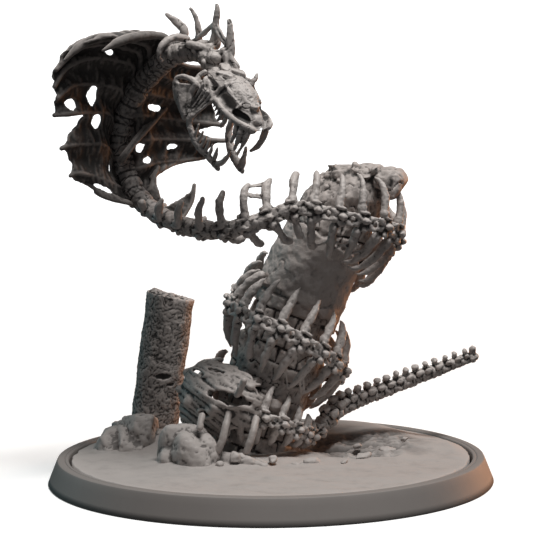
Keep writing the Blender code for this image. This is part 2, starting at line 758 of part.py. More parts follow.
def hood_grid(ribs, side):
    """Points of one half of the hood. Every other column is a rib, and the edge draws back between ribs."""
    roots = np.array([root for root, _ in ribs]) * MM
    tips = np.array([tip for _, tip in ribs]) * MM
    columns = 2 * len(ribs) - 1
    places = np.interp(np.arange(columns) / 2, np.arange(len(ribs)), roots)
    ends = smooth_curve(tips, 2)
    grid = []
    for column, (where, tip) in enumerate(zip(places, ends)):
        centre, _, dorsal, right = SPINE.frame(where)
        root = centre + side * right * HOOD_ROOT_GAP
        reach = 1.0 if column % 2 == 0 else HOOD_TEAR
        share = np.linspace(0, reach, HOOD_ROWS + 1)[:, None]
        bulge = HOOD_BOW * 4 * share * (1 - share)
        ridge = 0.0 if column % 2 else HOOD_RIDGE
        grid.append(root + (tip - root) * share + dorsal * (bulge - ridge * share))
    return grid


def skin_grid():
    """Points of the dried skin, which lies over the ribs of the lowest turn."""
    grid = []
    for where in np.linspace(SKIN_START, SKIN_END, SKIN_COLUMNS + 1) * MM:
        centre, _, dorsal, right = SPINE.frame(where)
        reach = key_value(RIGHT_RIB_KEYS, 1, where / MM) * MM + SKIN_MARGIN
        depth = key_value(RIGHT_RIB_KEYS, 2, where / MM) * MM
        angle = np.radians(np.linspace(*SKIN_ANGLES, SKIN_ROWS + 1))[:, None]
        drop = depth * (1 - np.cos(angle)) - SKIN_LIFT
        grid.append(centre + right * reach * np.sin(angle) - dorsal * drop)
    return grid


# ---- head -----------------------------------------------------------------------------------------------


def head_matrix():
    """From the head's own axes, in millimetres, to the model's."""
    forward = Vector(HEAD_FORWARD).normalized()
    left = Vector(HEAD_LEFT).normalized()
    up = forward.cross(left)
    turn = Matrix((forward, left, up)).transposed().to_4x4()
    return Matrix.Translation(Vector(HEAD_ORIGIN) * MM) @ turn @ Matrix.Scale(MM, 4)


def add_lump(bm, centre, sizes):
    place = Matrix.Translation(centre) @ Matrix.Diagonal((*sizes, 1.0))
    around, down = LUMP_STEPS
    bmesh.ops.create_uvsphere(bm, u_segments=around, v_segments=down, radius=1.0, matrix=place)


def add_bar(bm, start, end, thick_start, thick_end, sides=BAR_SIDES):
    """A tapered bar with flat ends."""
    start, end = Vector(start), Vector(end)
    turn = Vector((0, 0, 1)).rotation_difference(end - start).to_matrix().to_4x4()
    place = Matrix.Translation((start + end) / 2) @ turn
    bmesh.ops.create_cone(
        bm,
        cap_ends=True,
        segments=sides,
        radius1=thick_start / 2,
        radius2=thick_end / 2,
        depth=(end - start).length,
        matrix=place,
    )


def union_of(name, pieces, look, collection):
    """One object that joins overlapping pieces of the head, each given as a function that fills a bmesh.

    They are joined in the head's own axes, in millimetres, and then put in place.
    """
    objects = []
    for index, fill in enumerate(pieces):
        bm = bmesh.new()
        fill(bm)
        objects.append(add_bmesh(f"{name}_piece_{index}", bm, look, collection))
    body = objects[0]
    for other in objects[1:]:
        modifier = body.modifiers.new(other.name, "BOOLEAN")
        modifier.operation = "UNION"
        modifier.object = other
    graph = bpy.context.evaluated_depsgraph_get()
    joined = bpy.data.meshes.new_from_object(body.evaluated_get(graph))
    for piece in objects:
        bpy.data.objects.remove(piece)
    joined.name = name
    joined.transform(head_matrix())
    return add_object(name, joined, look, collection)


def tooth(place, top, length, direction):
    """A function that adds one tooth, from inside the bone at its root out to its point."""
    forward, side = place

    def fill(bm):
        root = (forward, side, top - direction * TOOTH_SET)
        point = (forward - TOOTH_LEAN, side, top + direction * length)
        add_bar(bm, root, point, TOOTH_THICKNESS, TOOTH_POINT, TOOTH_SIDES)

    return fill


def make_skull(collection):
    pieces = [lambda bm, lump=lump: add_lump(bm, *lump) for lump in SKULL_LUMPS]
    for side in (1, -1):
        for start, end, thick_start, thick_end in SKULL_BARS:
            first = (start[0], start[1] * side, start[2])
            last = (end[0], end[1] * side, end[2])
            pieces.append(lambda bm, bar=(first, last, thick_start, thick_end): add_bar(bm, *bar))
        for forward, offset in UPPER_TEETH:
            pieces.append(tooth((forward, offset * side), UPPER_TOOTH_TOP, UPPER_TOOTH_LENGTH, -1))
        forward, offset = FANG_PLACE
        pieces.append(tooth((forward, offset * side), FANG_TOP, FANG_LENGTH, -1))
    return union_of("skull", pieces, BONE, collection)


def make_jaw(name, side, collection):
    """One half of the lower jaw: a bent bar with a row of teeth standing on it."""
    route = [(x, y * side, z) for x, y, z in JAW_ROUTE]
    pieces = []
    for start, end, thick_start, thick_end in zip(route, route[1:], JAW_THICKNESS, JAW_THICKNESS[1:]):
        bar = (start, end, thick_start, thick_end, JAW_SIDES)
        pieces.append(lambda bm, bar=bar: add_bar(bm, *bar))
    for corner, thickness in zip(route[1:-1], JAW_THICKNESS[1:-1]):
        size = (thickness * JAW_CORNER,) * 3
        pieces.append(lambda bm, place=corner, size=size: add_lump(bm, place, size))
    for forward, offset in LOWER_TEETH:
        pieces.append(tooth((forward, offset * side), LOWER_TOOTH_FOOT, LOWER_TOOTH_LENGTH, 1))
    forward, offset = FRONT_TOOTH
    pieces.append(tooth((forward, offset * side), LOWER_TOOTH_FOOT, FRONT_TOOTH_LENGTH, 1))
    return union_of(name, pieces, BONE, collection)


# ---- assembly -------------------------------------------------------------------------------------------


def make_snake(collection):
    make_whole_spine("tail", 0.0, TAIL_END, collection)
    ends = np.linspace(TAIL_END, COIL_END, COIL_LENGTHS + 1)
    sides = (("right", 1, RIGHT_RIB_KEYS), ("left", -1, LEFT_RIB_KEYS))
    for number, (start, stop) in enumerate(zip(ends, ends[1:]), 1):
        for label, side, keys in sides:
            make_spine_half(f"coil_{number}_{label}", start, stop, side, keys, collection)
    ends = np.linspace(COIL_END, NECK_END, NECK_LENGTHS + 1)
    for number, (start, stop) in enumerate(zip(ends, ends[1:]), 1):
        for label, side, keys in sides:
            make_spine_half(f"neck_{number}_{label}", start, stop, side, keys, collection)
    make_whole_spine("hood_spine_lower", NECK_END, HOOD_MIDDLE, collection)
    make_whole_spine("hood_spine_upper", HOOD_MIDDLE, SPINE.end / MM, collection, CREST_SPINES)
    right, left = hood_grid(HOOD_RIGHT_RIBS, 1), hood_grid(HOOD_LEFT_RIBS, -1)
    make_torn_sheet("hood_right", right, HOOD_RIGHT_HOLES, HOOD_THICKNESS, SKIN, collection)
    make_torn_sheet("hood_left", left, HOOD_LEFT_HOLES, HOOD_THICKNESS, SKIN, collection)
    make_torn_sheet("skin_patch", skin_grid(), SKIN_HOLES, SKIN_THICKNESS, SKIN, collection)
    make_skull(collection)
    make_jaw("jaw_left", 1, collection)
    make_jaw("jaw_right", -1, collection)


def main():
    clear_scene()
    collection = bpy.data.collections.new(OBJECT_NAME)
    cutters = bpy.data.collections.new("cutters")
    bpy.context.scene.collection.children.link(collection)
    bpy.context.scene.collection.children.link(cutters)
    make_base_rim(collection)
    columns = (
        ("main_column", COLUMN_AXIS, COLUMN_RADII[0][1] * MM + COLUMN_WEAR + GAP),
        ("stump_column", STUMP_AXIS, STUMP_RADIUS + STUMP_WEAR + GAP),
    )
    make_ground(collection, cutters, columns)
    make_main_column(collection)
    make_stump_column(collection)
    make_snake(collection)


main()
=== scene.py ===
"""Looks of a display miniature: a hooded snake's skeleton, wound round a broken stone column on a round base.

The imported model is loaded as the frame, and each of its nodes is replaced by a sculpted surface in its place.
A sculpted piece is made as a clay model is: closed surfaces, worked out with numpy, overlap each other, are
joined into one skin, smoothed, and then roughened along their normals. Shapes are worked out in
millimetres, in the frame's axes: +Z up, the front facing -Y. Each piece has seeds of its own for its noise
and its random draws, so that a change to one piece leaves the others as they are.
"""

import math

import bpy
import numpy as np
from mathutils import Matrix, Vector


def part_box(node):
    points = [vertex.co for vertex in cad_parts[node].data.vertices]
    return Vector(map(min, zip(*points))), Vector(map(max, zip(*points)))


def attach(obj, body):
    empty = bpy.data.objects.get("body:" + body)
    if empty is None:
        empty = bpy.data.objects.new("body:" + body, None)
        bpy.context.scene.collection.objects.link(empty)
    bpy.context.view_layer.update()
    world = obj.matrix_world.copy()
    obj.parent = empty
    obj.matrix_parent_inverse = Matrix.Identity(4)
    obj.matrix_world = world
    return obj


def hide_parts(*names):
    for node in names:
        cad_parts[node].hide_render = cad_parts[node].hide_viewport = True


bl_info = {
    "name": "Hooded Snake Skeleton Miniature",
    "version": (1, 0, 0),
    "blender": (4, 5, 0),
    "location": "View3D > Sidebar > Miniature",
    "description": "Sculpted surfaces, cast finishes and a plain stage for the skeleton miniature",
    "category": "Add Mesh",
}

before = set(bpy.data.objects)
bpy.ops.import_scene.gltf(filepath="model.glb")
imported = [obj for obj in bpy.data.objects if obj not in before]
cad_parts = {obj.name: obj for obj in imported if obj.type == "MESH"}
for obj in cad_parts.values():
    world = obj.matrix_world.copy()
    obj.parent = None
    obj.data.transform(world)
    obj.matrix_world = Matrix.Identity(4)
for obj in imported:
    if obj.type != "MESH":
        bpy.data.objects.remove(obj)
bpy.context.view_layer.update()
MM = 0.001
BODY = "root"

# The base
RIM_FOOT_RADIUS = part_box("base_rim")[1].x / MM
RIM_TOP_RADIUS = 28.7
RIM_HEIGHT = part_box("base_rim")[1].z / MM
RECESS_RADIUS = 27.2
RECESS_FLOOR = 1.2
GAP = 0.3
GROUND_LEVEL = 3.2
GROUND_BORDER = 5.0
# Swells of the ground: x, y, spread, height
GROUND_SWELLS = [
    (-11.8, -5.2, 3.2, 4.4), (-6.0, -5.0, 4.5, 1.6), (-22.0, 6.0, 3.8, 4.0), (-14.5, 7.5, 4.5, 2.6),
    (17.0, 12.0, 7.0, 1.6), (-8.0, 19.0, 5.0, 1.6),
]
# How much of each swell is sand: the rest is the rock that stands on it
SWELL_SHARES = (0.15, 0.35, 0.3, 0.8, 0.35, 1.0)

# The columns
COLUMN_AXIS = [(-3.0, 6.0, 1.5), (-1.1, 6.0, 9.7), (5.2, 6.0, 26.4), (8.7, 6.0, 34.0), (12.6, 6.0, 42.4)]
COLUMN_RADII = [(0.0, 6.3), (0.5, 6.0), (0.85, 6.4), (0.91, 6.3), (0.96, 5.4), (1.0, 3.9)]
STUMP_AXIS = [(-17.2, 13.0, 1.5), (-13.9, 13.0, 24.0)]
STUMP_RADIUS = 3.5

# The spine's route, as in the frame: the tail and the neck pass through points, and the coil turns about the
# column's axis by turn in degrees, height along the axis and radius
TAIL_ROUTE = [(29.0, 11.5, 15.1), (26.4, 11.4, 14.3), (18.4, 10.0, 11.6), (11.0, 7.6, 9.2), (8.6, 5.4, 8.2)]
TAIL_DORSAL = (-0.15, -0.25, 0.95)
COIL_KEYS = [
    (-20, 6.1, 8.7), (-90, 7.6, 9.3), (-180, 6.6, 9.3), (-270, 11.2, 9.2), (-360, 15.8, 8.9),
    (-450, 19.4, 9.0), (-540, 20.0, 8.6), (-630, 27.3, 9.0), (-720, 36.2, 8.9), (-785, 37.8, 9.4),
]
COIL_STEP = 30
NECK_ROUTE = [
    (10.2, -3.0, 35.4), (3.6, -4.0, 36.6), (-2.1, -4.2, 34.7), (-7.6, -2.3, 33.6),
    (-13.3, 0.8, 34.8), (-17.7, 3.8, 37.7), (-20.0, 5.6, 42.8), (-19.9, 5.3, 48.4),
    (-17.2, 3.6, 53.7), (-13.4, 0.6, 56.9), (-10.8, -1.6, 57.7), (-8.3, -4.3, 57.2),
    (-6.9, -6.2, 55.3),
]
NECK_DORSALS = [
    (0.25, -0.95, -0.1), (0.0, -1.0, 0.0), (-0.1, -0.95, -0.3), (-0.1, -0.6, -0.8),
    (-0.4, -0.05, -0.9), (-0.7, 0.4, -0.6), (-0.7, 0.7, -0.2), (-0.68, 0.7, 0.2),
    (-0.52, 0.62, 0.6), (-0.25, 0.4, 0.85), (0.05, 0.15, 0.98), (0.25, -0.1, 0.95),
    (0.4, -0.35, 0.8),
]
ROUTE_STEPS = 12

# Vertebrae, by arc length from the tail's tip: spacing, half width and half height
VERTEBRA_KEYS = [
    (0.0, 1.2, 0.75, 0.7), (12.0, 1.7, 0.95, 0.9), (24.0, 1.9, 1.15, 1.2),
    (40.0, 2.9, 1.3, 1.3), (50.0, 3.3, 1.45, 1.4), (168.0, 3.3, 1.4, 1.35),
    (193.0, 3.0, 1.25, 1.25), (223.0, 2.7, 1.2, 1.2),
]
# Ribs, by arc length: how far they reach sideways, how deep they curve to the belly, how far they lean back
RIGHT_RIB_KEYS = [
    (27.0, 1.5, 0.7, 0.3), (29.0, 2.0, 1.0, 0.4), (38.0, 4.2, 2.2, 0.8), (52.0, 5.4, 2.8, 0.9),
    (92.0, 5.6, 2.8, 0.7), (101.0, 6.0, 2.8, 0.1), (112.0, 5.4, 2.8, 0.3), (140.0, 5.4, 2.9, 0.9),
    (149.0, 5.4, 3.2, -0.8), (152.2, 5.6, 3.2, -2.0), (155.5, 5.8, 3.0, -1.2), (158.8, 5.4, 3.0, 0.1),
    (162.1, 5.2, 3.1, -0.2), (165.4, 4.4, 3.0, 2.0), (168.7, 4.2, 2.8, 2.5), (172.0, 4.5, 2.7, 1.6),
    (178.0, 4.2, 2.7, 1.0), (188.0, 3.0, 2.2, 0.6),
]
LEFT_RIB_KEYS = [
    (24.0, 1.4, 0.7, 0.3), (31.0, 2.3, 1.3, 0.5), (38.0, 3.9, 2.2, 0.8), (52.0, 5.4, 2.8, 0.9),
    (88.0, 5.6, 2.8, 0.6), (93.0, 6.8, 3.0, 0.6), (101.0, 6.8, 3.0, 0.2), (106.0, 6.2, 2.9, -0.4),
    (110.0, 5.5, 2.8, 0.9), (136.0, 5.4, 2.8, 0.9), (142.3, 7.0, 3.0, 0.4), (148.9, 7.4, 3.0, -1.0),
    (152.2, 6.6, 3.0, -2.2), (155.5, 6.2, 2.9, -1.2), (158.8, 6.4, 2.8, 1.4), (162.1, 5.0, 2.8, 1.8),
    (168.7, 4.3, 2.6, 1.6), (174.0, 3.8, 2.4, 1.0), (188.0, 2.6, 1.8, 0.6),
]
TAIL_END = 25.0
COIL_END = 155.0
COIL_LENGTHS = 8
NECK_END = 188.5
NECK_LENGTHS = 2
HOOD_MIDDLE = 205.0


# ---- curves and directions ----


def unit(vectors):
    """Vectors divided by their length."""
    vectors = np.asarray(vectors, float)
    return vectors / np.maximum(np.linalg.norm(vectors, axis=-1, keepdims=True), 1e-12)


def smooth_curve(points, steps):
    """A Catmull-Rom curve: each stretch is the cubic whose slope at a point runs between its neighbours."""
    points = np.asarray(points, float)
    padded = np.vstack([2 * points[0] - points[1], points, 2 * points[-1] - points[-2]])
    t = np.linspace(0, 1, steps, endpoint=False)[:, None]
    pieces = []
    for a, b, c, d in zip(padded, padded[1:], padded[2:], padded[3:]):
        bend = (2 * a - 5 * b + 4 * c - d) * t**2
        twist = (3 * b - a - 3 * c + d) * t**3
        pieces.append(0.5 * (2 * b + (c - a) * t + bend + twist))
    return np.vstack(pieces + [points[-1:]])


def arc_lengths(points):
    """Length along a line of points, at each of them."""
    return np.r_[0, np.cumsum(np.linalg.norm(np.diff(points, axis=0), axis=1))]


def read_along(lengths, values, where):
    """The rows of values, read at these places along the lengths."""
    return np.stack([np.interp(where, lengths, values[:, k]) for k in range(values.shape[1])], axis=-1)


def even_steps(path, count):
    """The same line of points, read at even steps of its length."""
    lengths = arc_lengths(path)
    return read_along(lengths, path, np.linspace(0, lengths[-1], count))


def even_path(points, count):
    """A smooth curve through points, read at even steps of its length."""
    return even_steps(smooth_curve(points, ROUTE_STEPS), count)


def xyz(x, y=0.0, z=0.0):
    """Points from their three coordinates, the last of which may be left out."""
    return np.stack(np.broadcast_arrays(x, y, z), axis=-1)


def full_turn(steps):
    """Even angles once round, in radians."""
    return np.linspace(0, 2 * math.pi, steps, endpoint=False)


def key_value(keys, column, where):
    """One column of a table of keys, read between its rows."""
    keys = np.array(keys, float)
    return np.interp(where, keys[:, 0], keys[:, column])


def ease(low, high, values):
    """A smooth step from 0 at low to 1 at high: s * s * (3 - 2 s)."""
    s = np.clip((values - low) / (high - low), 0, 1)
    return s * s * (3 - 2 * s)


def axis_frame(axis, heights):
    """Centres of an axis at heights along it, and its directions there: along, across (+X) and away (+Y)."""
    route = smooth_curve(axis, ROUTE_STEPS)
    lengths = arc_lengths(route)
    centres = read_along(lengths, route, heights)
    along = unit(read_along(lengths, unit(np.gradient(route, axis=0)), heights))
    across = unit(np.cross([0.0, 1.0, 0.0], along))
    return centres, along, across, np.cross(along, across)


# The column's length along its axis, and how many places on the axis its nearest one is looked for among
COLUMN_LENGTH = arc_lengths(smooth_curve(COLUMN_AXIS, ROUTE_STEPS))[-1]
AXIS_SAMPLES = 60


def coil_route():
    """The coil about the column: centre + outward * radius, where outward turns about the axis."""
    keys = np.array(COIL_KEYS, float)
    turns = np.arange(keys[0, 0], keys[-1, 0] - 1, -COIL_STEP)
    smooth_keys = smooth_curve(keys, ROUTE_STEPS)[::-1]
    heights = np.interp(turns, smooth_keys[:, 0], smooth_keys[:, 1])
    radii = np.interp(turns, smooth_keys[:, 0], smooth_keys[:, 2])
    centres, _, across, away = axis_frame(COLUMN_AXIS, heights)
    angle = np.radians(turns)[:, None]
    outward = across * np.cos(angle) + away * np.sin(angle)
    return centres + outward * radii[:, None], outward


class Spine:
    """The centre line of the backbone, with its directions: along (to the head), dorsal and right."""

    def __init__(self):
        coil, outward = coil_route()
        tail_dorsals = np.tile(TAIL_DORSAL, (len(TAIL_ROUTE), 1))
        self.points = smooth_curve(np.vstack([TAIL_ROUTE, coil, NECK_ROUTE]), ROUTE_STEPS)
        self.dorsals = smooth_curve(np.vstack([tail_dorsals, outward, NECK_DORSALS]), ROUTE_STEPS)
        self.lengths = arc_lengths(self.points)
        self.tangents = unit(np.gradient(self.points, axis=0))
        self.end = self.lengths[-1]

    def frame(self, where):
        """Centre, along, dorsal and right at arc lengths."""
        centre = read_along(self.lengths, self.points, where)
        along = unit(read_along(self.lengths, self.tangents, where))
        dorsal = read_along(self.lengths, self.dorsals, where)
        dorsal = unit(dorsal - along * np.sum(dorsal * along, axis=-1, keepdims=True))
        return centre, along, dorsal, np.cross(along, dorsal)

    def stations(self, start, stop):
        """The arc lengths of the vertebrae between two places."""
        places = []
        where = VERTEBRA_KEYS[0][1] / 2
        while where < self.end:
            places.append(where)
            where += key_value(VERTEBRA_KEYS, 1, where)
        return [place for place in places if start <= place < stop]


SPINE = Spine()


# ---- roughness ----

WORD = 0xFFFFFFFF
SHORT_WORD = 0xFFFFFF
# Large odd numbers that mix the coordinates of a place and its seed
MIXERS = (374761393, 668265263, 97471187, 1013904223, 1274126177)
# The lattice of the noise is turned, so that its lumps don't line up with the model's axes
LATTICE_TURN = np.array(
    Matrix.Rotation(0.7, 3, "X") @ Matrix.Rotation(0.9, 3, "Y") @ Matrix.Rotation(0.5, 3, "Z")
)


def lattice(spots, seed):
    """A repeatable number from 0 to 1 for each whole-number place, made by multiplying and folding digits."""
    mixed = sum(spots[..., k] * MIXERS[k] for k in range(3))
    mixed = (mixed + seed * MIXERS[3]) & WORD
    mixed = ((mixed ^ (mixed >> 13)) * MIXERS[4]) & WORD
    mixed = ((mixed ^ (mixed >> 15)) * MIXERS[1]) & WORD
    return ((mixed ^ (mixed >> 16)) & SHORT_WORD) / SHORT_WORD


def noise(points, size, seed=0):
    """Smooth lumps of this size, from -1 to 1: the lattice's numbers at a point's eight corners, blended."""
    scaled = np.asarray(points, float) @ LATTICE_TURN / size
    cell = np.floor(scaled).astype(np.int64)
    s = scaled - cell
    s = s * s * (3 - 2 * s)
    total = 0.0
    for corner in np.ndindex(2, 2, 2):
        weight = np.prod(np.where(corner, s, 1 - s), axis=-1)
        total = total + weight * lattice(cell + np.array(corner), seed)
    return total * 2 - 1


def rough(points, size, octaves, seed=0):
    """Noise added up at halving sizes and halving heights."""
    return sum(noise(points, size / 2**k, seed + 31 * k) / 2**k for k in range(octaves))


def flaked(points, size, layers, seed):
    """Stone that flakes off in layers: noise cut into level steps with steep edges, from about -1 to 1."""
    height = rough(points, size, 4, seed) * layers
    base = np.floor(height)
    return (base + ease(0.72, 1.0, height - base)) / layers


def creased(points, size, width, seed):
    """Winding cracks, 1 in their middle: where warped noise passes through zero."""
    warped = points + rough(points, size, 2, seed)[..., None] * size * 0.35
    return ease(width, 0.0, np.abs(noise(warped, size, seed + 1)))


def directions(around, up):
    """The directions of a ball's points: x = cos v cos u, y = cos v sin u, z = sin v."""
    v = np.linspace(-math.pi / 2, math.pi / 2, up)[1:-1, None]
    u = full_turn(around)[None]
    return xyz(np.cos(v) * np.cos(u), np.cos(v) * np.sin(u), np.sin(v))


# ---- meshes ----


def ring_faces(rows, columns):
    """The faces of a grid of points whose columns run round."""
    index = np.arange(rows * columns).reshape(rows, columns)
    turned = np.roll(index, -1, axis=1)
    return np.stack([index[:-1], turned[:-1], turned[1:], index[1:]], axis=-1)


def cell_faces(index):
    """The four corners of each cell of a grid of point numbers."""
    return np.stack([index[:-1, :-1], index[1:, :-1], index[1:, 1:], index[:-1, 1:]], axis=-1)


def mesh_of(name, points, faces):
    """A smooth-shaded mesh."""
    data = bpy.data.meshes.new(name)
    data.from_pydata(points, [], faces)
    data.polygons.foreach_set("use_smooth", np.ones(len(data.polygons), bool))
    return data


def linked(name, data):
    """An object of this data, in the scene."""
    obj = bpy.data.objects.new(name, data)
    bpy.context.scene.collection.objects.link(obj)
    return obj


# ---- clay: closed surfaces joined into one skin ----

# Where the rings of a bar's rounded end stand on their quarter circle, in degrees
BAR_END_ANGLES = (85, 60, 30)


class Clay:
    """Closed, overlapping surfaces of one piece, in millimetres."""

    def __init__(self):
        self.points = []
        self.faces = []
        self.count = 0

    def take(self, points, faces):
        """Keeps one more surface."""
        self.points.append(points.reshape(-1, 3))
        self.faces.append(faces.reshape(-1, 4) + self.count)
        self.count += self.points[-1].shape[0]

    def add(self, rows):
        """A grid of points, (rows, columns, 3), whose columns run round and whose end rows are closed."""
        n, m = rows.shape[:2]
        ends = [np.repeat(rows[k : k + 1].mean(axis=1, keepdims=True), m, axis=1) for k in (0, n - 1)]
        self.take(np.concatenate([ends[0], rows, ends[1]]), ring_faces(n + 2, m))

    def ball(self, centre, sizes, axes=None, around=16, up=9):
        """A ball: centre + each direction times the half sizes along its axes."""
        axes = np.eye(3) if axes is None else np.asarray(axes, float)
        self.add(np.asarray(centre, float) + (directions(around, up) * np.asarray(sizes, float)) @ axes)

    def bar(self, path, radius, up=(0.0, 0.0, 1.0), flat=1.0, around=12):
        """A bar: path + r cos(a) side + flat r sin(a) up, with ends that run in as quarter circles."""
        path = np.asarray(path, float)
        radius = np.broadcast_to(np.asarray(radius, float), len(path))
        course = unit(np.gradient(path, axis=0))
        side = unit(np.cross(course, np.broadcast_to(up, path.shape)))
        rise = np.cross(side, course)
        turn = np.radians(BAR_END_ANGLES)
        first = path[:1] - course[:1] * radius[0] * np.sin(turn)[:, None]
        last = path[-1:] + course[-1:] * radius[-1] * np.sin(turn[::-1])[:, None]
        centre = np.vstack([first, path, last])
        size = np.r_[radius[0] * np.cos(turn), radius, radius[-1] * np.cos(turn[::-1])]
        side = np.vstack([side[[0, 0, 0]], side, side[[-1, -1, -1]]])
        rise = np.vstack([rise[[0, 0, 0]], rise, rise[[-1, -1, -1]]])
        angle = full_turn(around)[None, :, None]
        ring = np.cos(angle) * side[:, None] + flat * np.sin(angle) * rise[:, None]
        self.add(centre[:, None] + size[:, None, None] * ring)

    def rock(self, centre, sizes, seed, planes=16, edge=14.0, around=48, up=25):
        """A broken stone: in each direction, the smallest distance to six upright planes and some random
        ones, with edges softened by adding the distances' inverse powers."""
        source = np.random.default_rng(seed)
        upright = np.concatenate([np.eye(3), -np.eye(3)])
        normals = np.concatenate([upright, unit(source.normal(size=(planes, 3)))])
        reach = np.concatenate([source.uniform(0.85, 1.0, 6), source.uniform(0.72, 1.0, planes)])
        way = directions(around, up)
        toward = np.clip(way @ normals.T, 0.05, None) / reach
        radius = np.sum(toward**edge, axis=-1) ** (-1 / edge)
        turn = np.array(Matrix.Rotation(source.uniform(0, 6.28), 3, "Z"))
        self.add(np.asarray(centre, float) + (way * radius[..., None] * np.asarray(sizes, float)) @ turn)

    def rocks(self, table, seed, **shape):
        """Broken stones from a table of centres and half sizes, each with a seed of its own."""
        for number, (centre, sizes) in enumerate(table):
            self.rock(centre, sizes, seed + number, **shape)

    def plate(self, grid, thickness, kept=None):
        """A sheet with two sides and rims: grid + and - normal * thickness / 2, less the cells not kept."""
        grid = np.asarray(grid, float)
        n, m = grid.shape[:2]
        kept = np.ones((n - 1, m - 1), bool) if kept is None else kept
        across = np.gradient(grid, axis=0)
        down = np.gradient(grid, axis=1)
        half = unit(np.cross(across, down)) * np.broadcast_to(thickness, (n, m))[..., None] / 2
        index = np.arange(n * m).reshape(n, m)
        top = cell_faces(index)[kept]
        under = top[:, ::-1] + n * m
        framed = np.pad(kept, 1).astype(int)
        walls = []
        for step, start, stop in (
            (np.diff(framed, axis=0)[:, 1:-1], index[:, :-1], index[:, 1:]),
            (np.diff(framed, axis=1)[1:-1], index[:-1], index[1:]),
        ):
            for sign in (1, -1):
                a, b = start[step == sign], stop[step == sign]
                wall = np.stack([a, b, b + n * m, a + n * m], axis=-1)
                walls.append(wall[:, ::sign])
        both = np.concatenate([(grid + half).reshape(-1, 3), (grid - half).reshape(-1, 3)])
        self.take(both, np.concatenate([top, under, *walls]))

    def joined(self, voxel):
        """One skin round all the surfaces, by a voxel remesh of this cell size."""
        data = bpy.data.meshes.new("clay")
        data.from_pydata(np.concatenate(self.points), [], np.concatenate(self.faces))
        obj = linked("clay", data)
        remesh = obj.modifiers.new("join", "REMESH")
        remesh.mode = "VOXEL"
        remesh.voxel_size = voxel
        remesh.adaptivity = 0.0
        made = bpy.data.meshes.new_from_object(obj.evaluated_get(bpy.context.evaluated_depsgraph_get()))
        skin = Skin.of(made)
        bpy.data.objects.remove(obj)
        bpy.data.meshes.remove(data)
        bpy.data.meshes.remove(made)
        return skin


class Skin:
    """A surface of four-cornered faces, in millimetres, and what is worked out from it."""

    def __init__(self, points, faces):
        self.points = points
        self.faces = faces
        ahead = np.roll(faces, -1, axis=1).ravel()
        here = faces.ravel()
        self.start = np.concatenate([here, ahead])
        self.stop = np.concatenate([ahead, here])
        self.links = np.maximum(np.bincount(self.start, minlength=len(points)), 1)
        self.hollow = None

    @classmethod
    def of(cls, data):
        """The skin of a mesh whose faces all have four corners."""
        points = np.empty(len(data.vertices) * 3)
        data.vertices.foreach_get("co", points)
        corners = np.empty(len(data.loops), np.int64)
        data.loops.foreach_get("vertex_index", corners)
        return cls(points.reshape(-1, 3), corners.reshape(-1, 4))

    @classmethod
    def wound(cls, rows):
        """The skin of a grid of points, (rows, columns, 3), whose columns run round."""
        return cls(rows.reshape(-1, 3), ring_faces(*rows.shape[:2]).reshape(-1, 4))

    def around(self, values):
        """The mean of the values at each point's neighbours."""
        count = len(self.points)
        columns = values.reshape(count, -1).T
        means = [np.bincount(self.start, column[self.stop], count) / self.links for column in columns]
        return np.stack(means, axis=-1).reshape(values.shape)

    def smooth(self, rounds, share=0.5):
        """Moves each point this share of the way to the mean of its neighbours, several times."""
        for _ in range(rounds):
            self.points = self.points + (self.around(self.points) - self.points) * share
        return self

    def normals(self):
        """Outward directions: at each point, the sum of its faces' cross products of diagonals."""
        a, b, c, d = (self.points[self.faces[:, k]] for k in range(4))
        facing = np.cross(c - a, d - b)
        total = np.zeros_like(self.points)
        for k in range(3):
            weights = np.repeat(facing[:, k], 4)
            total[:, k] = np.bincount(self.faces.ravel(), weights, len(self.points))
        return unit(total)

    def push(self, amount):
        """Moves the points along their normals."""
        self.points = self.points + self.normals() * np.asarray(amount)[..., None]
        return self

    def dent(self, centre, sizes, axes=None, soft=0.0):
        """Presses a ball's shape into the surface: points inside the ball move out to its skin."""
        axes = np.eye(3) if axes is None else np.asarray(axes, float)
        inside = (self.points - centre) @ axes.T / sizes
        gap = np.linalg.norm(inside, axis=-1, keepdims=True)
        reach = np.where(gap < 1, 1 / np.maximum(gap, 1e-3), 1.0)
        reach = 1 + (reach - 1) * (1 - soft)
        moved = centre + (inside * reach * sizes) @ axes
        self.points = np.where(gap < 1, moved, self.points)
        return self

    def painted_crevice_shade_and_highlight(self, spread=(2, 8, 24)):
        """Painted crevice shade and edge highlight: how hollow each place is, from 0 on edges, which are
        painted lighter, to 1 in crevices, which are painted darker: the height of the neighbours' mean over the
        point, at several spreads, each against its usual size."""
        normals = self.normals()
        even = self.points
        total = np.zeros(len(even))
        rounds = 0
        for stop in spread:
            for _ in range(stop - rounds):
                even = self.around(even)
            rounds = stop
            rise = np.sum((even - self.points) * normals, axis=-1)
            total += rise / (np.std(rise) * 2 + 1e-9)
        return np.clip(0.5 + total / len(spread) * 0.75, 0, 1)

    def darken(self, amount, share=1.0):
        """How dark the finish is, from 0 to 1: a share of the painted crevice shade and edge highlight, and an
        amount, which on some pieces is painted light and shade and on others plain tone.
        """
        self.hollow = np.clip(self.painted_crevice_shade_and_highlight() * share + amount, 0, 1)


def show(name, skin, slot, nodes, moved=None):
    """The piece itself: the skin in metres, with its painted shade and tone, its finish and its place in the
    frame.
    """
    if skin.hollow is None:
        skin.darken(0.0)
    points = skin.points if moved is None else moved(skin.points)
    data = mesh_of(name, points * MM, skin.faces)
    data.attributes.new("hollow", "FLOAT", "POINT").data.foreach_set("value", skin.hollow.astype(np.float32))
    data.materials.append(slot_finish(slot))
    obj = linked(name, data)
    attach(obj, BODY)
    if nodes:
        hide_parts(*nodes)
    return obj


# ---- finishes ----


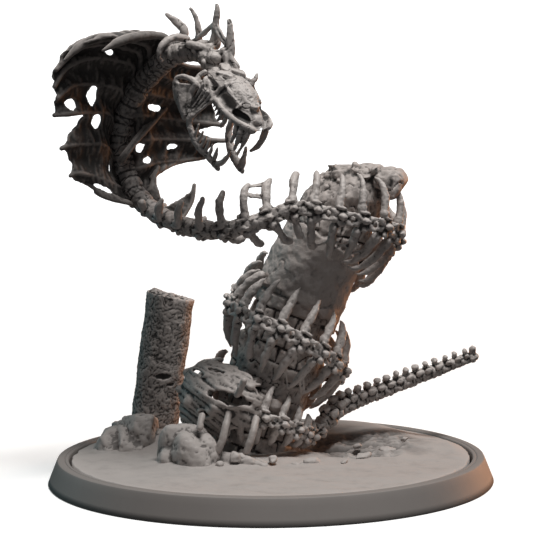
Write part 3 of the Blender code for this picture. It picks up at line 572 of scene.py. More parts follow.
class Value:
    """A socket of a material's nodes, so that shader maths reads as plain arithmetic."""

    def __init__(self, finish, socket):
        self.finish = finish
        self.socket = socket

    def maths(self, operation, first, second):
        """One step of arithmetic, as a node."""
        return self.finish.node("ShaderNodeMath", {"operation": operation}, {0: first, 1: second})

    def __add__(self, other):
        return self.maths("ADD", self, other)

    def __radd__(self, other):
        return self.maths("ADD", other, self)

    def __sub__(self, other):
        return self.maths("SUBTRACT", self, other)

    def __rsub__(self, other):
        return self.maths("SUBTRACT", other, self)

    def __mul__(self, other):
        return self.maths("MULTIPLY", self, other)

    def __rmul__(self, other):
        return self.maths("MULTIPLY", other, self)

    def clamped(self):
        """The value, held between 0 and 1."""
        return self.finish.node("ShaderNodeClamp", {}, {"Value": self})


class Finish:
    """One procedural material with a Principled shader."""

    def __init__(self, name):
        self.material = bpy.data.materials.new(name)
        self.material.use_nodes = True
        self.tree = self.material.node_tree
        self.shader = self.tree.nodes["Principled BSDF"]
        self.place = self.node("ShaderNodeTexCoord", {}, {}, "Object")

    def node(self, kind, settings, inputs, output=0):
        """Any node: its settings first, then the values or links of its sockets. Returns one output."""
        made = self.tree.nodes.new(kind)
        for name, value in settings.items():
            setattr(made, name, value)
        for name, value in inputs.items():
            self.feed(made.inputs[name], value)
        return Value(self, made.outputs[output])

    def feed(self, socket, value):
        """Links a socket to a value of the nodes, or sets it to a constant."""
        if isinstance(value, Value):
            self.tree.links.new(value.socket, socket)
        else:
            socket.default_value = value

    def shade(self, **sockets):
        """Feeds the shader's sockets; an underscore in a name stands for a space."""
        for name, value in sockets.items():
            self.feed(self.shader.inputs[name.replace("_", " ")], value)
        return self.material

    def mark(self, name):
        """A number that the mesh carries at each point."""
        return self.node("ShaderNodeAttribute", {"attribute_name": name}, {}, "Fac")

    def speckle(self, size_mm, detail=4.0, roughness=0.6):
        """Blender's own noise, in lumps of this size."""
        return self.node(
            "ShaderNodeTexNoise",
            {},
            {"Vector": self.place, "Scale": 1 / (size_mm * MM), "Detail": detail, "Roughness": roughness},
            "Fac",
        )

    def ramp(self, factor, stops):
        """Colours along a factor: each stop is its place and its colour."""
        stops = list(stops)
        made = self.tree.nodes.new("ShaderNodeValToRGB")
        band = made.color_ramp
        while len(band.elements) < len(stops):
            band.elements.new(0.5)
        for element, (place, colour) in zip(band.elements, stops):
            element.position = place
            element.color = (*colour, 1.0)
        self.feed(made.inputs["Fac"], factor)
        return Value(self, made.outputs["Color"])

    def bump(self, height, depth_mm):
        """A normal, from a height between 0 and 1 that stands for this depth."""
        inputs = {"Height": height, "Distance": depth_mm * MM, "Strength": 1.0}
        return self.node("ShaderNodeBump", {}, inputs, "Normal")


def tones(colour, edge, crevice):
    """Three tones of one colour: a painted highlight for edges, the plain colour for plain surfaces and a
    painted shade for crevices.
    """
    colour = np.array(colour[:3])
    return tuple(np.clip(colour * edge, 0, 1)), tuple(colour), tuple(colour * crevice)


# Lumps of lighter and darker tone: their size in mm and their detail
MOTTLE_MM = 2.4
MOTTLE_DETAIL = 3.0
# How much of the mottle and of the grain is added to the painted shade and tone
MOTTLE_SHARE = 0.35
GRAIN_SHARE = 0.12
# Where the three tones stand, from the painted highlight on edges to the painted shade in crevices
TONE_PLACES = (0.18, 0.5, 0.86)
# How much rougher the finish is in a crevice than on an edge
CREVICE_ROUGHER = 0.15
EDGE_SMOOTHER = 0.08
# The finish of each slot: how light the painted highlight on edges and the painted shade in crevices are,
# roughness, the grain's size and depth in mm
CAST_FINISHES = {
    "bone": (1.35, 0.14, 0.6, 0.22, 0.04),
    "skin": (1.25, 0.14, 0.62, 0.2, 0.03),
    "stone": (1.35, 0.16, 0.72, 0.25, 0.05),
    "earth": (1.1, 0.4, 0.75, 0.14, 0.03),
    "rim": (1.05, 0.9, 0.64, 0.12, 0.004),
}


def cast_finish(name, colour, edge, crevice, roughness, grain_mm, depth_mm):
    """Cast resin in one colour, with a painted highlight on edges and painted shade in crevices, mottled, with
    fine grain.
    """
    finish = Finish(name)
    mottle = finish.speckle(MOTTLE_MM, MOTTLE_DETAIL)
    fine = finish.speckle(grain_mm)
    hollow = finish.mark("hollow") + (mottle - 0.5) * MOTTLE_SHARE + (fine - 0.5) * GRAIN_SHARE
    base = finish.ramp(hollow.clamped(), zip(TONE_PLACES, tones(colour, edge, crevice)))
    gloss = (hollow * CREVICE_ROUGHER + (roughness - EDGE_SMOOTHER)).clamped()
    normal = finish.bump(fine, depth_mm)
    return finish.shade(Base_Color=base, Roughness=gloss, Normal=normal, Metallic=0.0)


def slot_finish(slot):
    """The material of a slot, made once from the settings."""
    name = f"cast_{slot}"
    colour = getattr(bpy.context.scene.miniature_finishes, slot)
    return bpy.data.materials.get(name) or cast_finish(name, colour, *CAST_FINISHES[slot])


# ---- settings ----


def colour_setting(name, description, default):
    """A colour, with channels from 0 to 1."""
    return bpy.props.FloatVectorProperty(
        name=name, description=description, subtype="COLOR", size=3, default=default, min=0.0, max=1.0
    )


def number_setting(name, description, default, low=0.0, high=500.0, unit="NONE"):
    """A number between two limits."""
    return bpy.props.FloatProperty(
        name=name, description=description, default=default, min=low, max=high, unit=unit
    )


class MiniatureFinishes(bpy.types.PropertyGroup):
    """Colours of the cast parts."""

    bone: colour_setting("Bone", "Colour of the bones", (0.36, 0.33, 0.315))
    skin: colour_setting("Skin", "Colour of the hood and the dried skin", (0.31, 0.28, 0.265))
    stone: colour_setting("Stone", "Colour of the columns", (0.34, 0.305, 0.288))
    earth: colour_setting("Earth", "Colour of the ground", (0.37, 0.34, 0.325))
    rim: colour_setting("Rim", "Colour of the base's rim", (0.22, 0.2, 0.19))


class MiniatureSculpt(bpy.types.PropertyGroup):
    """Sizes of the sculpted detail, in millimetres."""

    bone_cell: number_setting("Bone cell", "Cell size of the bones' skin, in mm", 0.118, 0.05, 0.5)
    head_cell: number_setting("Head cell", "Cell size of the head's skin, in mm", 0.088, 0.04, 0.5)
    stone_cell: number_setting("Stone cell", "Cell size of the stones' skin, in mm", 0.178, 0.08, 0.8)
    stump_cell: number_setting("Stump cell", "Cell size of the stump's skin, in mm", 0.14, 0.08, 0.8)
    hood_cell: number_setting("Hood cell", "Cell size of the hood's skin, in mm", 0.135, 0.06, 0.5)
    patch_cell: number_setting("Patch cell", "Cell size of the dried skin, in mm", 0.11, 0.06, 0.5)
    rib_radius: number_setting("Rib radius", "Half thickness of a full rib, in mm", 0.61, 0.2, 1.0)


class MiniatureStage(bpy.types.PropertyGroup):
    """The light and the camera."""

    key_power: number_setting("Key light", "Power of the key light", 2.0, unit="POWER")
    fill_power: number_setting("Fill light", "Power of the fill light", 0.05, unit="POWER")
    side_power: number_setting("Side light", "Power of the warm side light", 0.4, unit="POWER")
    backdrop_power: number_setting("Backdrop light", "Power of the backdrop's light", 9.0, unit="POWER")
    surround: number_setting("Surround", "Strength of the pale surround", 0.05)
    lens: number_setting("Lens", "Focal length of the camera, in mm", 113.65, 10.0)


def sculpt():
    """The settings of the sculpted detail."""
    return bpy.context.scene.miniature_sculpt


# ---- base and ground ----

RIM_STEPS = 320
# The rim's profile, turned about the vertical: radius and height. Points that stand close round off an edge
RIM_PROFILE = [
    (0.0, 0.0),
    (RIM_FOOT_RADIUS - 0.6, 0.0),
    (RIM_FOOT_RADIUS - 0.12, 0.02),
    (RIM_FOOT_RADIUS, 0.18),
    (RIM_TOP_RADIUS + 0.12, RIM_HEIGHT - 0.28),
    (RIM_TOP_RADIUS, RIM_HEIGHT - 0.06),
    (RIM_TOP_RADIUS - 0.2, RIM_HEIGHT),
    (RECESS_RADIUS + 0.62, RIM_HEIGHT),
    (RECESS_RADIUS + 0.52, RIM_HEIGHT - 0.12),
    (RECESS_RADIUS + 0.42, RIM_HEIGHT - 0.02),
    (RECESS_RADIUS + 0.1, RIM_HEIGHT - 0.03),
    (RECESS_RADIUS, RIM_HEIGHT - 0.15),
    (RECESS_RADIUS, RECESS_FLOOR),
    (0.0, RECESS_FLOOR),
]
# Above this height the rim's top is a little uneven
RIM_SETTLED = 3.0
GROUND_STEPS = 450
GROUND_RINGS = 115
# The ground's underside and the lowest that a stone reaches
GROUND_FOOT = 1.6
# Boulders on the left: centre, half sizes
LEFT_BOULDERS = [
    ((-18.4, 6.0, 4.6), (3.6, 2.8, 3.9)),
    ((-20.2, 5.6, 3.2), (4.4, 3.0, 3.3)),
    ((-22.0, 5.2, 3.6), (3.2, 2.6, 2.8)),
    ((-20.2, 8.2, 4.2), (2.6, 2.4, 3.1)),
    ((-14.9, 7.0, 4.0), (1.5, 1.4, 1.8)),
    ((-18.6, 3.2, 3.5), (1.4, 1.1, 0.9)),
    ((-12.8, 6.6, 4.2), (1.1, 1.0, 1.1)),
    ((-13.9, 4.6, 4.9), (0.75, 0.7, 0.7)),
    ((-20.0, 11.0, 4.4), (2.6, 2.6, 2.2)),
]
# The rock that the lowest turn rests on, slumped to the right
MOUND = [
    ((-11.0, -4.2, 3.6), (4.4, 3.6, 6.3)),
    ((-12.8, -4.8, 3.2), (3.0, 3.0, 4.0)),
    ((-8.8, -5.4, 3.4), (3.4, 2.9, 4.6)),
    ((-10.6, -4.8, 2.6), (5.6, 4.4, 5.4)),
    ((-5.4, -6.0, 3.0), (4.6, 2.2, 2.1)),
    ((-1.6, -6.2, 2.9), (3.6, 1.5, 1.3)),
]
# Edges of the boulders and of the mound: a higher number is sharper
BOULDER_EDGE = 24.0
MOUND_EDGE = 7.0
SMALL_STONES = [
    ((-4.7, -8.2, 4.4), (0.8, 0.7, 0.75)),
    ((0.3, -7.2, 3.9), (1.2, 0.6, 0.5)),
    ((-6.6, -8.9, 3.6), (0.5, 0.5, 0.45)),
    ((5.4, -5.8, 3.3), (1.4, 0.9, 0.6)),
    ((9.5, -6.6, 3.3), (0.8, 0.5, 0.35)),
    ((3.2, -7.0, 3.2), (0.9, 0.6, 0.3)),
    ((12.5, -1.6, 3.2), (1.8, 0.9, 0.5)),
    ((16.0, 1.0, 3.5), (1.2, 1.0, 0.5)),
    ((12.0, 3.5, 3.7), (0.9, 0.8, 0.5)),
    ((18.4, 4.4, 4.2), (0.7, 0.6, 0.5)),
]


def make_base_rim():
    """The moulded rim: rings of its profile, with four steps between its corners."""
    angle = full_turn(RIM_STEPS)
    corners = np.array(RIM_PROFILE)
    steps = [np.linspace(a, b, 4, endpoint=False) for a, b in zip(corners, corners[1:])]
    line = np.vstack([*steps, corners[-1:]])
    radius, height = line[:, :1], line[:, 1:]
    skin = Skin.wound(xyz(radius * np.cos(angle), radius * np.sin(angle), height))
    settled = noise(skin.points, 9.0, 3) * 0.02 - 0.02
    skin.hollow = np.clip(0.5 + noise(skin.points, 5.0, 4) * 0.1, 0, 1)
    skin.points[:, 2] += np.where(skin.points[:, 2] > RIM_SETTLED, settled, 0)
    return show("rim_moulded", skin, "rim", ["base_rim"])


def swells(x, y):
    """The ground's height: its level and a bell curve for each swell, fading out at the rim."""
    height = np.zeros_like(x)
    for (centre_x, centre_y, spread, rise), share in zip(GROUND_SWELLS, SWELL_SHARES):
        height = height + share * rise * np.exp(-((x - centre_x) ** 2 + (y - centre_y) ** 2) / spread**2)
    edge = np.clip((RECESS_RADIUS - np.hypot(x, y)) / GROUND_BORDER, 0, 1)
    return GROUND_LEVEL + height * edge


def ground_detail(points):
    """Relief over the swells: ripples in the sand, and on the right a broken crust with a long crack."""
    x, y = points[..., 0], points[..., 1]
    edge = ease(0.0, 2.5, RECESS_RADIUS - np.hypot(x, y))
    sand = noise(points * (1.0, 2.0, 1.0), 5.0, 13) * 0.14 + rough(points, 0.9, 2, 14) * 0.025
    crest = y - 4.0 - 0.2 * (x - 18) - 0.9 * np.sin(x * 0.35)
    slope = np.where(crest > 0, np.exp(-((crest / 1.6) ** 2)), np.exp(-((crest / 7.0) ** 2)))
    dune = slope * ease(12, 18, x) * 0.75
    back = ease(2.0, 9.0, x) * ease(14.0, 9.0, x - y * 0.3) * ease(9.0, 16.0, y) * 0.25
    crust = ease(7.5, 4.5, np.hypot((x - 12.5) * 0.8, (y - 4.5) * 0.9) + noise(points, 3.0, 15) * 1.6)
    broken = flaked(points, 2.6, 3, 16) * 0.75 - 0.35 + rough(points, 0.8, 2, 18) * 0.1
    course = y - 5.2 - noise(points, 5.0, 17) * 1.1
    crack = ease(0.35, 0.05, np.abs(course)) * ease(6, 8, x) * ease(24, 19, x)
    shelf = ease(-0.1, 0.3, course) * ease(24, 14, x) * ease(5, 8, x) * 0.6
    return edge * (sand + dune + back + crust * broken + shelf - crack * 0.9)


def make_ground():
    """The ground: a disc of points whose height is the swells and their relief, with a skirt and an
    underside. Its border with the rim is broken."""
    angle = full_turn(GROUND_STEPS)
    ragged = noise(xyz(np.cos(angle) * 12, np.sin(angle) * 12), 0.8, 21)
    outline = RECESS_RADIUS - GAP - 0.1 + np.minimum(ragged, 0) * 0.35
    share = np.linspace(0.0, 1.0, GROUND_RINGS)[::-1, None] ** 0.9
    x, y = outline * share * np.cos(angle), outline * share * np.sin(angle)
    top = xyz(x, y, swells(x, y))
    top[..., 2] += ground_detail(top)
    skirt = top[:1].copy()
    skirt[..., 2] = GROUND_FOOT
    under = skirt * (0, 0, 1)
    skin = Skin.wound(np.concatenate([under, skirt, top]))
    x, y, _ = skin.points.T
    crust = ease(9.5, 5.0, np.hypot((x - 13.0) * 0.8, y - 5.0) + noise(skin.points, 2.0, 19) * 1.8)
    skin.darken(0.22 * crust)
    return show("ground_sculpted", skin, "earth", ["ground"])


def make_rubble():
    """The rock under the coil, the boulders on the left and small stones, joined into one skin and weathered.
    Nothing of them comes out below the base."""
    clay = Clay()
    clay.rocks(LEFT_BOULDERS + SMALL_STONES, 40, edge=BOULDER_EDGE)
    clay.rocks(MOUND, 90, planes=24, edge=MOUND_EDGE)
    skin = clay.joined(sculpt().stone_cell).smooth(2)
    calm = ease(8.0, 5.5, np.hypot(*(skin.points - MOUND[0][0])[:, :2].T))
    grain = flaked(skin.points * (1, 1, 1.3), 3.0, 4, 51) * (0.24 - 0.14 * calm)
    pits = ease(0.1, 0.7, rough(skin.points, 0.7, 3, 53)) * 0.1
    skin.push(grain + rough(skin.points, 0.9, 3, 52) * 0.08 - pits)
    skin.points[:, 2] = np.maximum(skin.points[:, 2], GROUND_FOOT)
    return show("rubble", skin, "earth", [])


# ---- columns ----

# The raised shell round the column's middle: height and half height
SHELL_MIDDLE = 27.6
SHELL_HALF = 5.2
# The courses of blocks: height, and how many blocks go round
COURSE_HEIGHT = 2.1
COURSE_BLOCKS = 11
# The column's last millimetre is left to its broken top. Rings and points of each column, and rings of a top
TOP_SPARE = 0.9
COLUMN_RINGS = 280
COLUMN_STEPS = 260
STUMP_LENGTH = 22.6
STUMP_RINGS = 180
TOP_RINGS = 40
# Stones on the column's top: centre, half sizes
TOP_STONES = [
    ((16.4, 3.6, 39.8), (2.9, 2.7, 2.4)),
    ((15.2, 1.8, 40.2), (2.0, 1.3, 1.6)),
    ((13.0, 2.6, 40.8), (1.9, 1.5, 1.1)),
    ((9.8, 3.4, 40.8), (1.7, 1.4, 1.0)),
    ((10.8, 6.0, 41.4), (2.4, 2.4, 1.0)),
    ((14.5, 7.8, 41.4), (1.9, 1.8, 1.0)),
    ((16.6, 6.4, 41.0), (1.5, 1.6, 1.1)),
    ((8.5, 3.4, 42.1), (0.62, 0.5, 0.5)),
    ((11.9, 2.8, 42.2), (0.6, 0.5, 0.45)),
    ((14.4, 1.5, 41.6), (0.85, 0.6, 0.6)),
    ((6.9, 3.2, 40.0), (0.55, 0.45, 0.4)),
    ((7.8, 1.9, 39.4), (0.5, 0.4, 0.35)),
]
# Chips on the top: how many and how far out they lie
TOP_CHIPS = 44
TOP_CHIP_REACH = 5.4
# Gouges in the stump's front: centre, half sizes
STUMP_GOUGES = [((-14.9, 9.0, 12.6), (1.7, 1.2, 0.6)), ((-13.6, 9.4, 11.4), (1.2, 0.9, 0.5))]
# Broken blocks at the foot of the column, above the dried skin: centre, half sizes
FOOT_STONES = [
    ((-3.6, -0.2, 12.0), (1.8, 1.0, 0.9)),
    ((-1.0, -0.6, 11.2), (1.3, 0.9, 1.1)),
    ((0.8, -0.6, 10.2), (1.2, 0.9, 1.0)),
    ((-5.4, 0.6, 13.2), (1.3, 1.0, 0.8)),
    ((-1.9, -0.4, 13.1), (0.9, 0.8, 0.6)),
]


def column_surface(axis, radius_of, heights, steps):
    """Rings round an axis: centre + outward * radius. Outward turns level towards the foot and the top."""
    centres, _, across, away = axis_frame(axis, heights)
    angle = full_turn(steps)
    outward = across[:, None] * np.cos(angle)[:, None] + away[:, None] * np.sin(angle)[:, None]
    share = (heights - heights[0]) / (heights[-1] - heights[0])
    lean = np.clip(share / 0.2, 0, 1) * np.clip((1 - share) / 0.4, 0, 1)
    outward[..., 2] *= lean[:, None]
    radius = radius_of(share[:, None], angle[None])
    return centres[:, None] + outward * radius[..., None], centres


def up_the_column(points):
    """How high points stand along the column's straight line, and where that line is there on the X axis."""
    along = unit(np.array(COLUMN_AXIS[-1]) - COLUMN_AXIS[0])
    heights = (points - COLUMN_AXIS[0]) @ along
    return heights, COLUMN_AXIS[0][0] + heights * along[0]


def blocks(points, heights, centre_x):
    """Courses of stone blocks round the column: the distance to the nearest joint and each block's number,
    from 0 to 1."""
    course = heights / COURSE_HEIGHT + noise(points, 6.0, 66) * 0.2
    row = np.floor(course)
    angle = np.arctan2(points[:, 1] - COLUMN_AXIS[0][1], points[:, 0] - centre_x)
    turn = angle / (2 * math.pi) * COURSE_BLOCKS
    turn = turn + lattice(xyz(row, row, row).astype(np.int64), 67) + noise(points, 4.0, 68) * 0.12
    place = np.floor(turn)
    rise = np.minimum(course - row, row + 1 - course) * COURSE_HEIGHT
    side = np.minimum(turn - place, place + 1 - turn) * 2 * math.pi * COLUMN_RADII[1][1] / COURSE_BLOCKS
    return np.minimum(rise, side), lattice(xyz(row, place, row).astype(np.int64), 69)


def weathered_column(points):
    """Change of the column's radius: a raised, pitted shell round its middle with a broken border, over
    courses of blocks with dark joints, whose faces flake."""
    heights, centre_x = up_the_column(points)
    middle = 1 - np.abs(heights - SHELL_MIDDLE + 0.35 * (points[:, 0] - centre_x)) / SHELL_HALF
    shell = ease(-0.02, 0.02, middle + noise(points, 5.0, 62) * 0.3 + noise(points, 1.5, 63) * 0.14)
    joint, mark = blocks(points, heights, centre_x)
    laid = ease(-0.25, 0.1, noise(points, 4.5, 55)) * ease(37.0, 35.5, heights + noise(points, 2.0, 53))
    face = (mark - 0.5) * 0.4 * laid - ease(0.26, 0.05, joint + noise(points, 0.8, 64) * 0.16) * 0.42 * laid
    face = face + flaked(points, 1.8, 4, 65) * 0.2 + rough(points, 0.6, 2, 61) * 0.07
    face = face - creased(points, 1.7, 0.05, 54) * 0.22 * (1 - laid)
    pits = ease(0.3, 0.7, rough(points, 0.7, 2, 60)) * ease(-0.3, 0.3, noise(points, 3.0, 59))
    smooth = 0.42 + rough(points, 2.2, 4, 58) * 0.16 - pits * 0.06 - creased(points, 3.2, 0.03, 57) * 0.16
    smooth = smooth + flaked(points, 1.8, 3, 56) * 0.12 + rough(points, 0.6, 2, 52) * 0.05
    return shell * smooth + (1 - shell) * face


def broken_top(rows, centre, seed, height, dome=0.0):
    """Rings that run in over a broken top: the last ring shrinks to its centre, with steps of split stone of
    this height over a low dome."""
    shares = np.linspace(0.97, 0.03, TOP_RINGS)[:, None, None]
    inner = centre + (rows[-1] - centre) * shares
    steps = flaked(inner, 2.6, 4, seed)
    inner[..., 2] += steps * height * ease(1.0, 0.85, shares[..., 0]) + dome * (1 - shares[..., 0] ** 2)
    return np.concatenate([rows, inner])


def make_main_column():
    """The leaning column: rings with a radius by height, a lip at the right of its top, and stones on it."""

    def radius_of(share, angle):
        lip = np.clip(np.cos(angle), 0, 1) ** 4 * np.clip((share - 0.85) / 0.1, 0, 1)
        return key_value(COLUMN_RADII, 1, share) + lip - 0.25

    heights = np.linspace(0, COLUMN_LENGTH - TOP_SPARE, COLUMN_RINGS)
    rows, centres = column_surface(COLUMN_AXIS, radius_of, heights, COLUMN_STEPS)
    clay = Clay()
    clay.add(broken_top(rows, centres[-1], 61, 0.4, 0.7))
    clay.rocks(TOP_STONES + FOOT_STONES, 70, planes=9, around=32, up=17)
    source = np.random.default_rng(69)
    for number in range(TOP_CHIPS):
        turn, out = source.uniform(0, 2 * math.pi), source.uniform(0.3, 1.0) ** 0.5 * TOP_CHIP_REACH
        height = 0.8 - 2.4 * (out / TOP_CHIP_REACH) ** 3
        place = centres[-1] + (math.cos(turn) * out, math.sin(turn) * out, height)
        sizes = source.uniform(0.3, 0.8, 3) * (1, 1, 0.6)
        clay.rock(place, sizes, 200 + number, planes=6, around=20, up=11)
    skin = clay.joined(sculpt().stone_cell).smooth(1)
    slab = ease(1.2, 0.8, np.linalg.norm((skin.points - TOP_STONES[0][0]) / TOP_STONES[0][1], axis=1))
    skin.push(weathered_column(skin.points) * (1 - 0.75 * slab))
    # Painted light: the raised shell round the column's middle is painted lighter, over the painted crevice
    # shade
    height, _ = up_the_column(skin.points)
    shell = ease(SHELL_HALF + 1.5, SHELL_HALF - 0.5, np.abs(height - SHELL_MIDDLE))
    skin.darken(-0.35 * shell)
    return show("column_weathered", skin, "stone", ["main_column"])


def make_stump_column():
    """The stump: rings of one radius, a slanting broken top, close wrinkles and a gouge in its front."""

    def radius_of(share, angle):
        return STUMP_RADIUS - 0.08 + 0.1 * np.cos(3 * angle + 4 * share)

    heights = np.linspace(0, STUMP_LENGTH, STUMP_RINGS)
    rows, centres = column_surface(STUMP_AXIS, radius_of, heights, STUMP_RINGS)
    near_top = ease(0.9, 1.0, np.linspace(0, 1, STUMP_RINGS))[:, None]
    rows[..., 2] -= near_top * (rows[..., 0] - centres[-1, 0]) * 0.22
    clay = Clay()
    clay.add(broken_top(rows, centres[-1], 81, 0.6))
    skin = clay.joined(sculpt().stump_cell).smooth(1)
    for centre, sizes in STUMP_GOUGES:
        skin.dent(np.array(centre), np.array(sizes), soft=0.2)
    points = skin.points
    bark = points * (1.0, 1.0, 1.5) + rough(points, 1.6, 2, 85)[:, None] * 0.6
    wrinkles = np.abs(noise(bark, 0.6, 86)) * 0.07 + np.abs(noise(bark, 0.4, 89)) * 0.04
    layers = flaked(points, 2.6, 3, 82) * 0.12
    skin.push(layers + wrinkles - 0.04)
    skin.darken(0.14)
    return show("stump_weathered", skin, "stone", ["stump_column"])


# ---- backbone and ribs ----

# Parts of a vertebra 3.3 mm long, by steps along, right and dorsal. Bars: start, end, radius at each and
# flatness. Those of the first table stand once, those of the second on both sides
SINGLE_BARS = [
    ((-1.4, 0.0, -0.8), (1.3, 0.0, -0.85), 0.66, 0.6, 0.95),
    ((-1.05, 0.0, 0.1), (1.0, 0.0, 0.1), 0.5, 0.42, 0.9),
    ((-0.1, -0.5, 0.1), (-0.15, -0.95, 0.65), 0.6, 0.5, 1.0),
    ((-0.1, 0.1, 0.3), (-0.15, 0.15, 1.0), 0.6, 0.5, 1.0),
]
PAIRED_BARS = [
    ((0.1, 0.2, 0.15), (1.65, 0.72, 0.4), 0.8, 0.24, 0.62),
    ((-0.1, 0.2, 0.2), (-1.65, 0.85, 0.6), 0.8, 0.2, 0.62),
    ((0.1, 0.4, 0.0), (0.3, 1.3, -0.1), 0.7, 0.5, 0.85),
]
# Knobs: centre, half sizes
KNOBS = [
    ((0.0, 0.0, 0.15), (0.9, 1.0, 0.6)),
    ((-0.15, 0.15, 1.0), (0.7, 0.36, 0.26)),
    ((-0.2, -0.95, 0.72), (0.5, 0.3, 0.26)),
    ((0.15, 1.2, 0.5), (0.8, 0.24, 0.28)),
]
# Spacing, half width and half height of a full vertebra
FULL_VERTEBRA = (3.3, 1.4, 1.35)
# Where the ringed underside of the neck begins
RINGS_START = 164.0
# Where a rib stands on its vertebra, as a share of the pitch, by arc length
RIB_PLACES = [(163.0, 0.15), (166.0, -0.1)]
COLUMN_CLEARANCE = 0.4
# Rounds of evening out a rib's curve, and how many points it has
RIB_EASINGS = 12
RIB_STEPS = 26
# Where a rib's curve begins, in degrees from the dorsal side
RIB_HEAD_ANGLE = 15
# How near a table's arc length is to the rib or vertebra that it means
SAME_RIB = 1.2
# How far a rib turns from its head to its tip, in degrees
RIGHT_SWEEP = 78
LEFT_SWEEP = 90
# Ribs broken short: arc length, side (1 right, -1 left), share of the rib that is left
BROKEN_RIBS = [
    (162.1, -1, 0.7), (165.4, -1, 0.4), (168.7, -1, 0.75), (172.0, -1, 0.5), (178.5, -1, 0.6),
    (184.8, -1, 0.6), (187.9, -1, 0.55), (187.9, 1, 0.5), (102.7, -1, 0.4), (109.3, 1, 0.8),
    (59.8, -1, 0.8),
]
# Sinews between neighbouring ribs: arc length of the first rib, side, then the share along each rib
SINEWS = [
    (139.0, 1, 0.3, 0.7), (142.3, 1, 0.5, 0.35), (155.5, -1, 0.2, 0.6), (155.5, -1, 0.5, 0.3),
    (152.2, -1, 0.3, 0.7), (158.8, -1, 0.3, 0.9), (76.3, -1, 0.9, 0.45), (79.6, -1, 0.3, 0.8),
    (89.5, -1, 0.85, 0.35), (89.5, -1, 0.95, 0.5), (92.8, -1, 0.9, 0.4), (73.0, 1, 0.2, 0.8),
    (168.7, 1, 0.92, 0.96), (168.7, 1, 0.78, 0.92), (168.7, 1, 0.4, 0.74), (168.7, 1, 0.34, 0.64),
]


def column_gap(points):
    """Distance from the column's axis less its radius, and the way out from it."""
    centres, along, _, _ = axis_frame(COLUMN_AXIS, np.linspace(0, COLUMN_LENGTH, AXIS_SAMPLES))
    offset = points[:, None] - centres
    nearest = np.argmin(np.linalg.norm(offset, axis=-1), axis=1)
    out = offset[np.arange(len(points)), nearest]
    out = out - along[nearest] * np.sum(out * along[nearest], axis=-1, keepdims=True)
    radius = key_value(COLUMN_RADII, 1, nearest / (AXIS_SAMPLES - 1))
    return np.linalg.norm(out, axis=-1) - radius, unit(out)


def rib_path(where, side, share=1.0):
    """A rib from its head to its tip: centre + right * reach sin(a) - dorsal * depth (1 - cos a) - along *
    lean, lifted off the column where it would enter it."""
    keys = RIGHT_RIB_KEYS if side > 0 else LEFT_RIB_KEYS
    centre, along, dorsal, right = SPINE.frame(where)
    reach, depth, lean = (key_value(keys, k, where) for k in (1, 2, 3))
    sweep = (RIGHT_SWEEP if side > 0 else LEFT_SWEEP) * share
    degrees = np.linspace(RIB_HEAD_ANGLE, RIB_HEAD_ANGLE + sweep, RIB_STEPS)[:, None]
    angle = np.radians(degrees)
    back = lean * (degrees / (RIB_HEAD_ANGLE + LEFT_SWEEP)) ** 1.6
    path = centre + side * right * reach * np.sin(angle) - dorsal * depth * (1 - np.cos(angle)) - along * back
    gap, out = column_gap(path)
    path = path + out * np.maximum(COLUMN_CLEARANCE + 0.2 - gap, 0)[:, None]
    for _ in range(RIB_EASINGS):
        path[1:-1] = (path[:-2] + path[2:]) / 2
    return even_steps(path, RIB_STEPS), along


# A rib's half thickness along it, as a factor: on the coil it ends in a long point, on the neck it is blunt,
# and a broken one keeps its thickness to its end
LONG_RIB = (
    [0, 0.06, 0.12, 0.2, 0.4, 0.6, 0.8, 0.92, 1.0],
    [1.16, 1.2, 0.96, 1.04, 1.02, 0.86, 0.58, 0.36, 0.2],
)
BLUNT_RIB = ([0, 0.08, 0.16, 0.6, 0.85, 1.0], [1.2, 1.2, 0.95, 1.02, 0.82, 0.55])
BROKEN_RIB = ([0, 0.12, 0.25, 1.0], [1.2, 1.2, 0.95, 0.98])
# The arc lengths between which the long ribs turn into blunt ones
BLUNT_FROM, BLUNT_TO = 160.0, 166.0


def rib_radii(scale, where, broken):
    """A rib's half thickness from head to tip: a collar, a groove, a full middle and its end."""
    s = np.linspace(0, 1, RIB_STEPS)
    blunt = np.interp(s, *(BROKEN_RIB if broken else BLUNT_RIB))
    share = 1.0 if broken else ease(BLUNT_FROM, BLUNT_TO, where)
    return (np.interp(s, *LONG_RIB) * (1 - share) + blunt * share) * scale


def add_rib(clay, where, side, scale, source):
    """One rib, or what is left of it where it is broken."""
    broken = [left for arc, way, left in BROKEN_RIBS if way == side and abs(arc - where) < SAME_RIB]
    share = broken[0] if broken else 1.0
    path, along = rib_path(where, side, share * source.uniform(0.97, 1.0))
    path = path + noise(path, 2.0, int(where * 7)).reshape(-1, 1) * along * 0.08
    radii = rib_radii(scale * source.uniform(0.95, 1.08), where, share < 1)
    radii = radii * (1 + noise(path, 0.9, int(where * 3)) * 0.05)
    clay.bar(path, radii, up=along, flat=0.92, around=14)


def add_vertebra(clay, where, source):
    """One vertebra: its bars and knobs, scaled to the size there and turned to the spine's directions."""
    centre, along, dorsal, right = SPINE.frame(where)
    sizes = np.array([key_value(VERTEBRA_KEYS, k, where) for k in (1, 2, 3)]) / FULL_VERTEBRA
    axes = np.stack([along, right, dorsal])
    thick = sizes[1:].mean()
    tilted = dorsal + 0.35 * along + 0.2 * right

    def bar(start, end, first, last, flat, way=1):
        ends = (np.array([start, end]) * (1, way, 1) + [[0, 0, 0], source.uniform(-0.07, 0.07, 3)]) * sizes
        path = centre + (ends[0] + np.linspace(0, 1, 6)[:, None] * (ends[1] - ends[0])) @ axes
        radii = np.linspace(first, last, 6) * thick * source.uniform(0.95, 1.05)
        clay.bar(path, radii, up=tilted, flat=flat)

    for parts in PAIRED_BARS:
        bar(*parts)
        bar(*parts, way=-1)
    for parts in SINGLE_BARS:
        bar(*parts)
    for place, half in KNOBS:
        half = np.array(half) * thick * source.uniform(0.92, 1.08)
        clay.ball(centre + (np.array(place) * sizes) @ axes, half, axes)


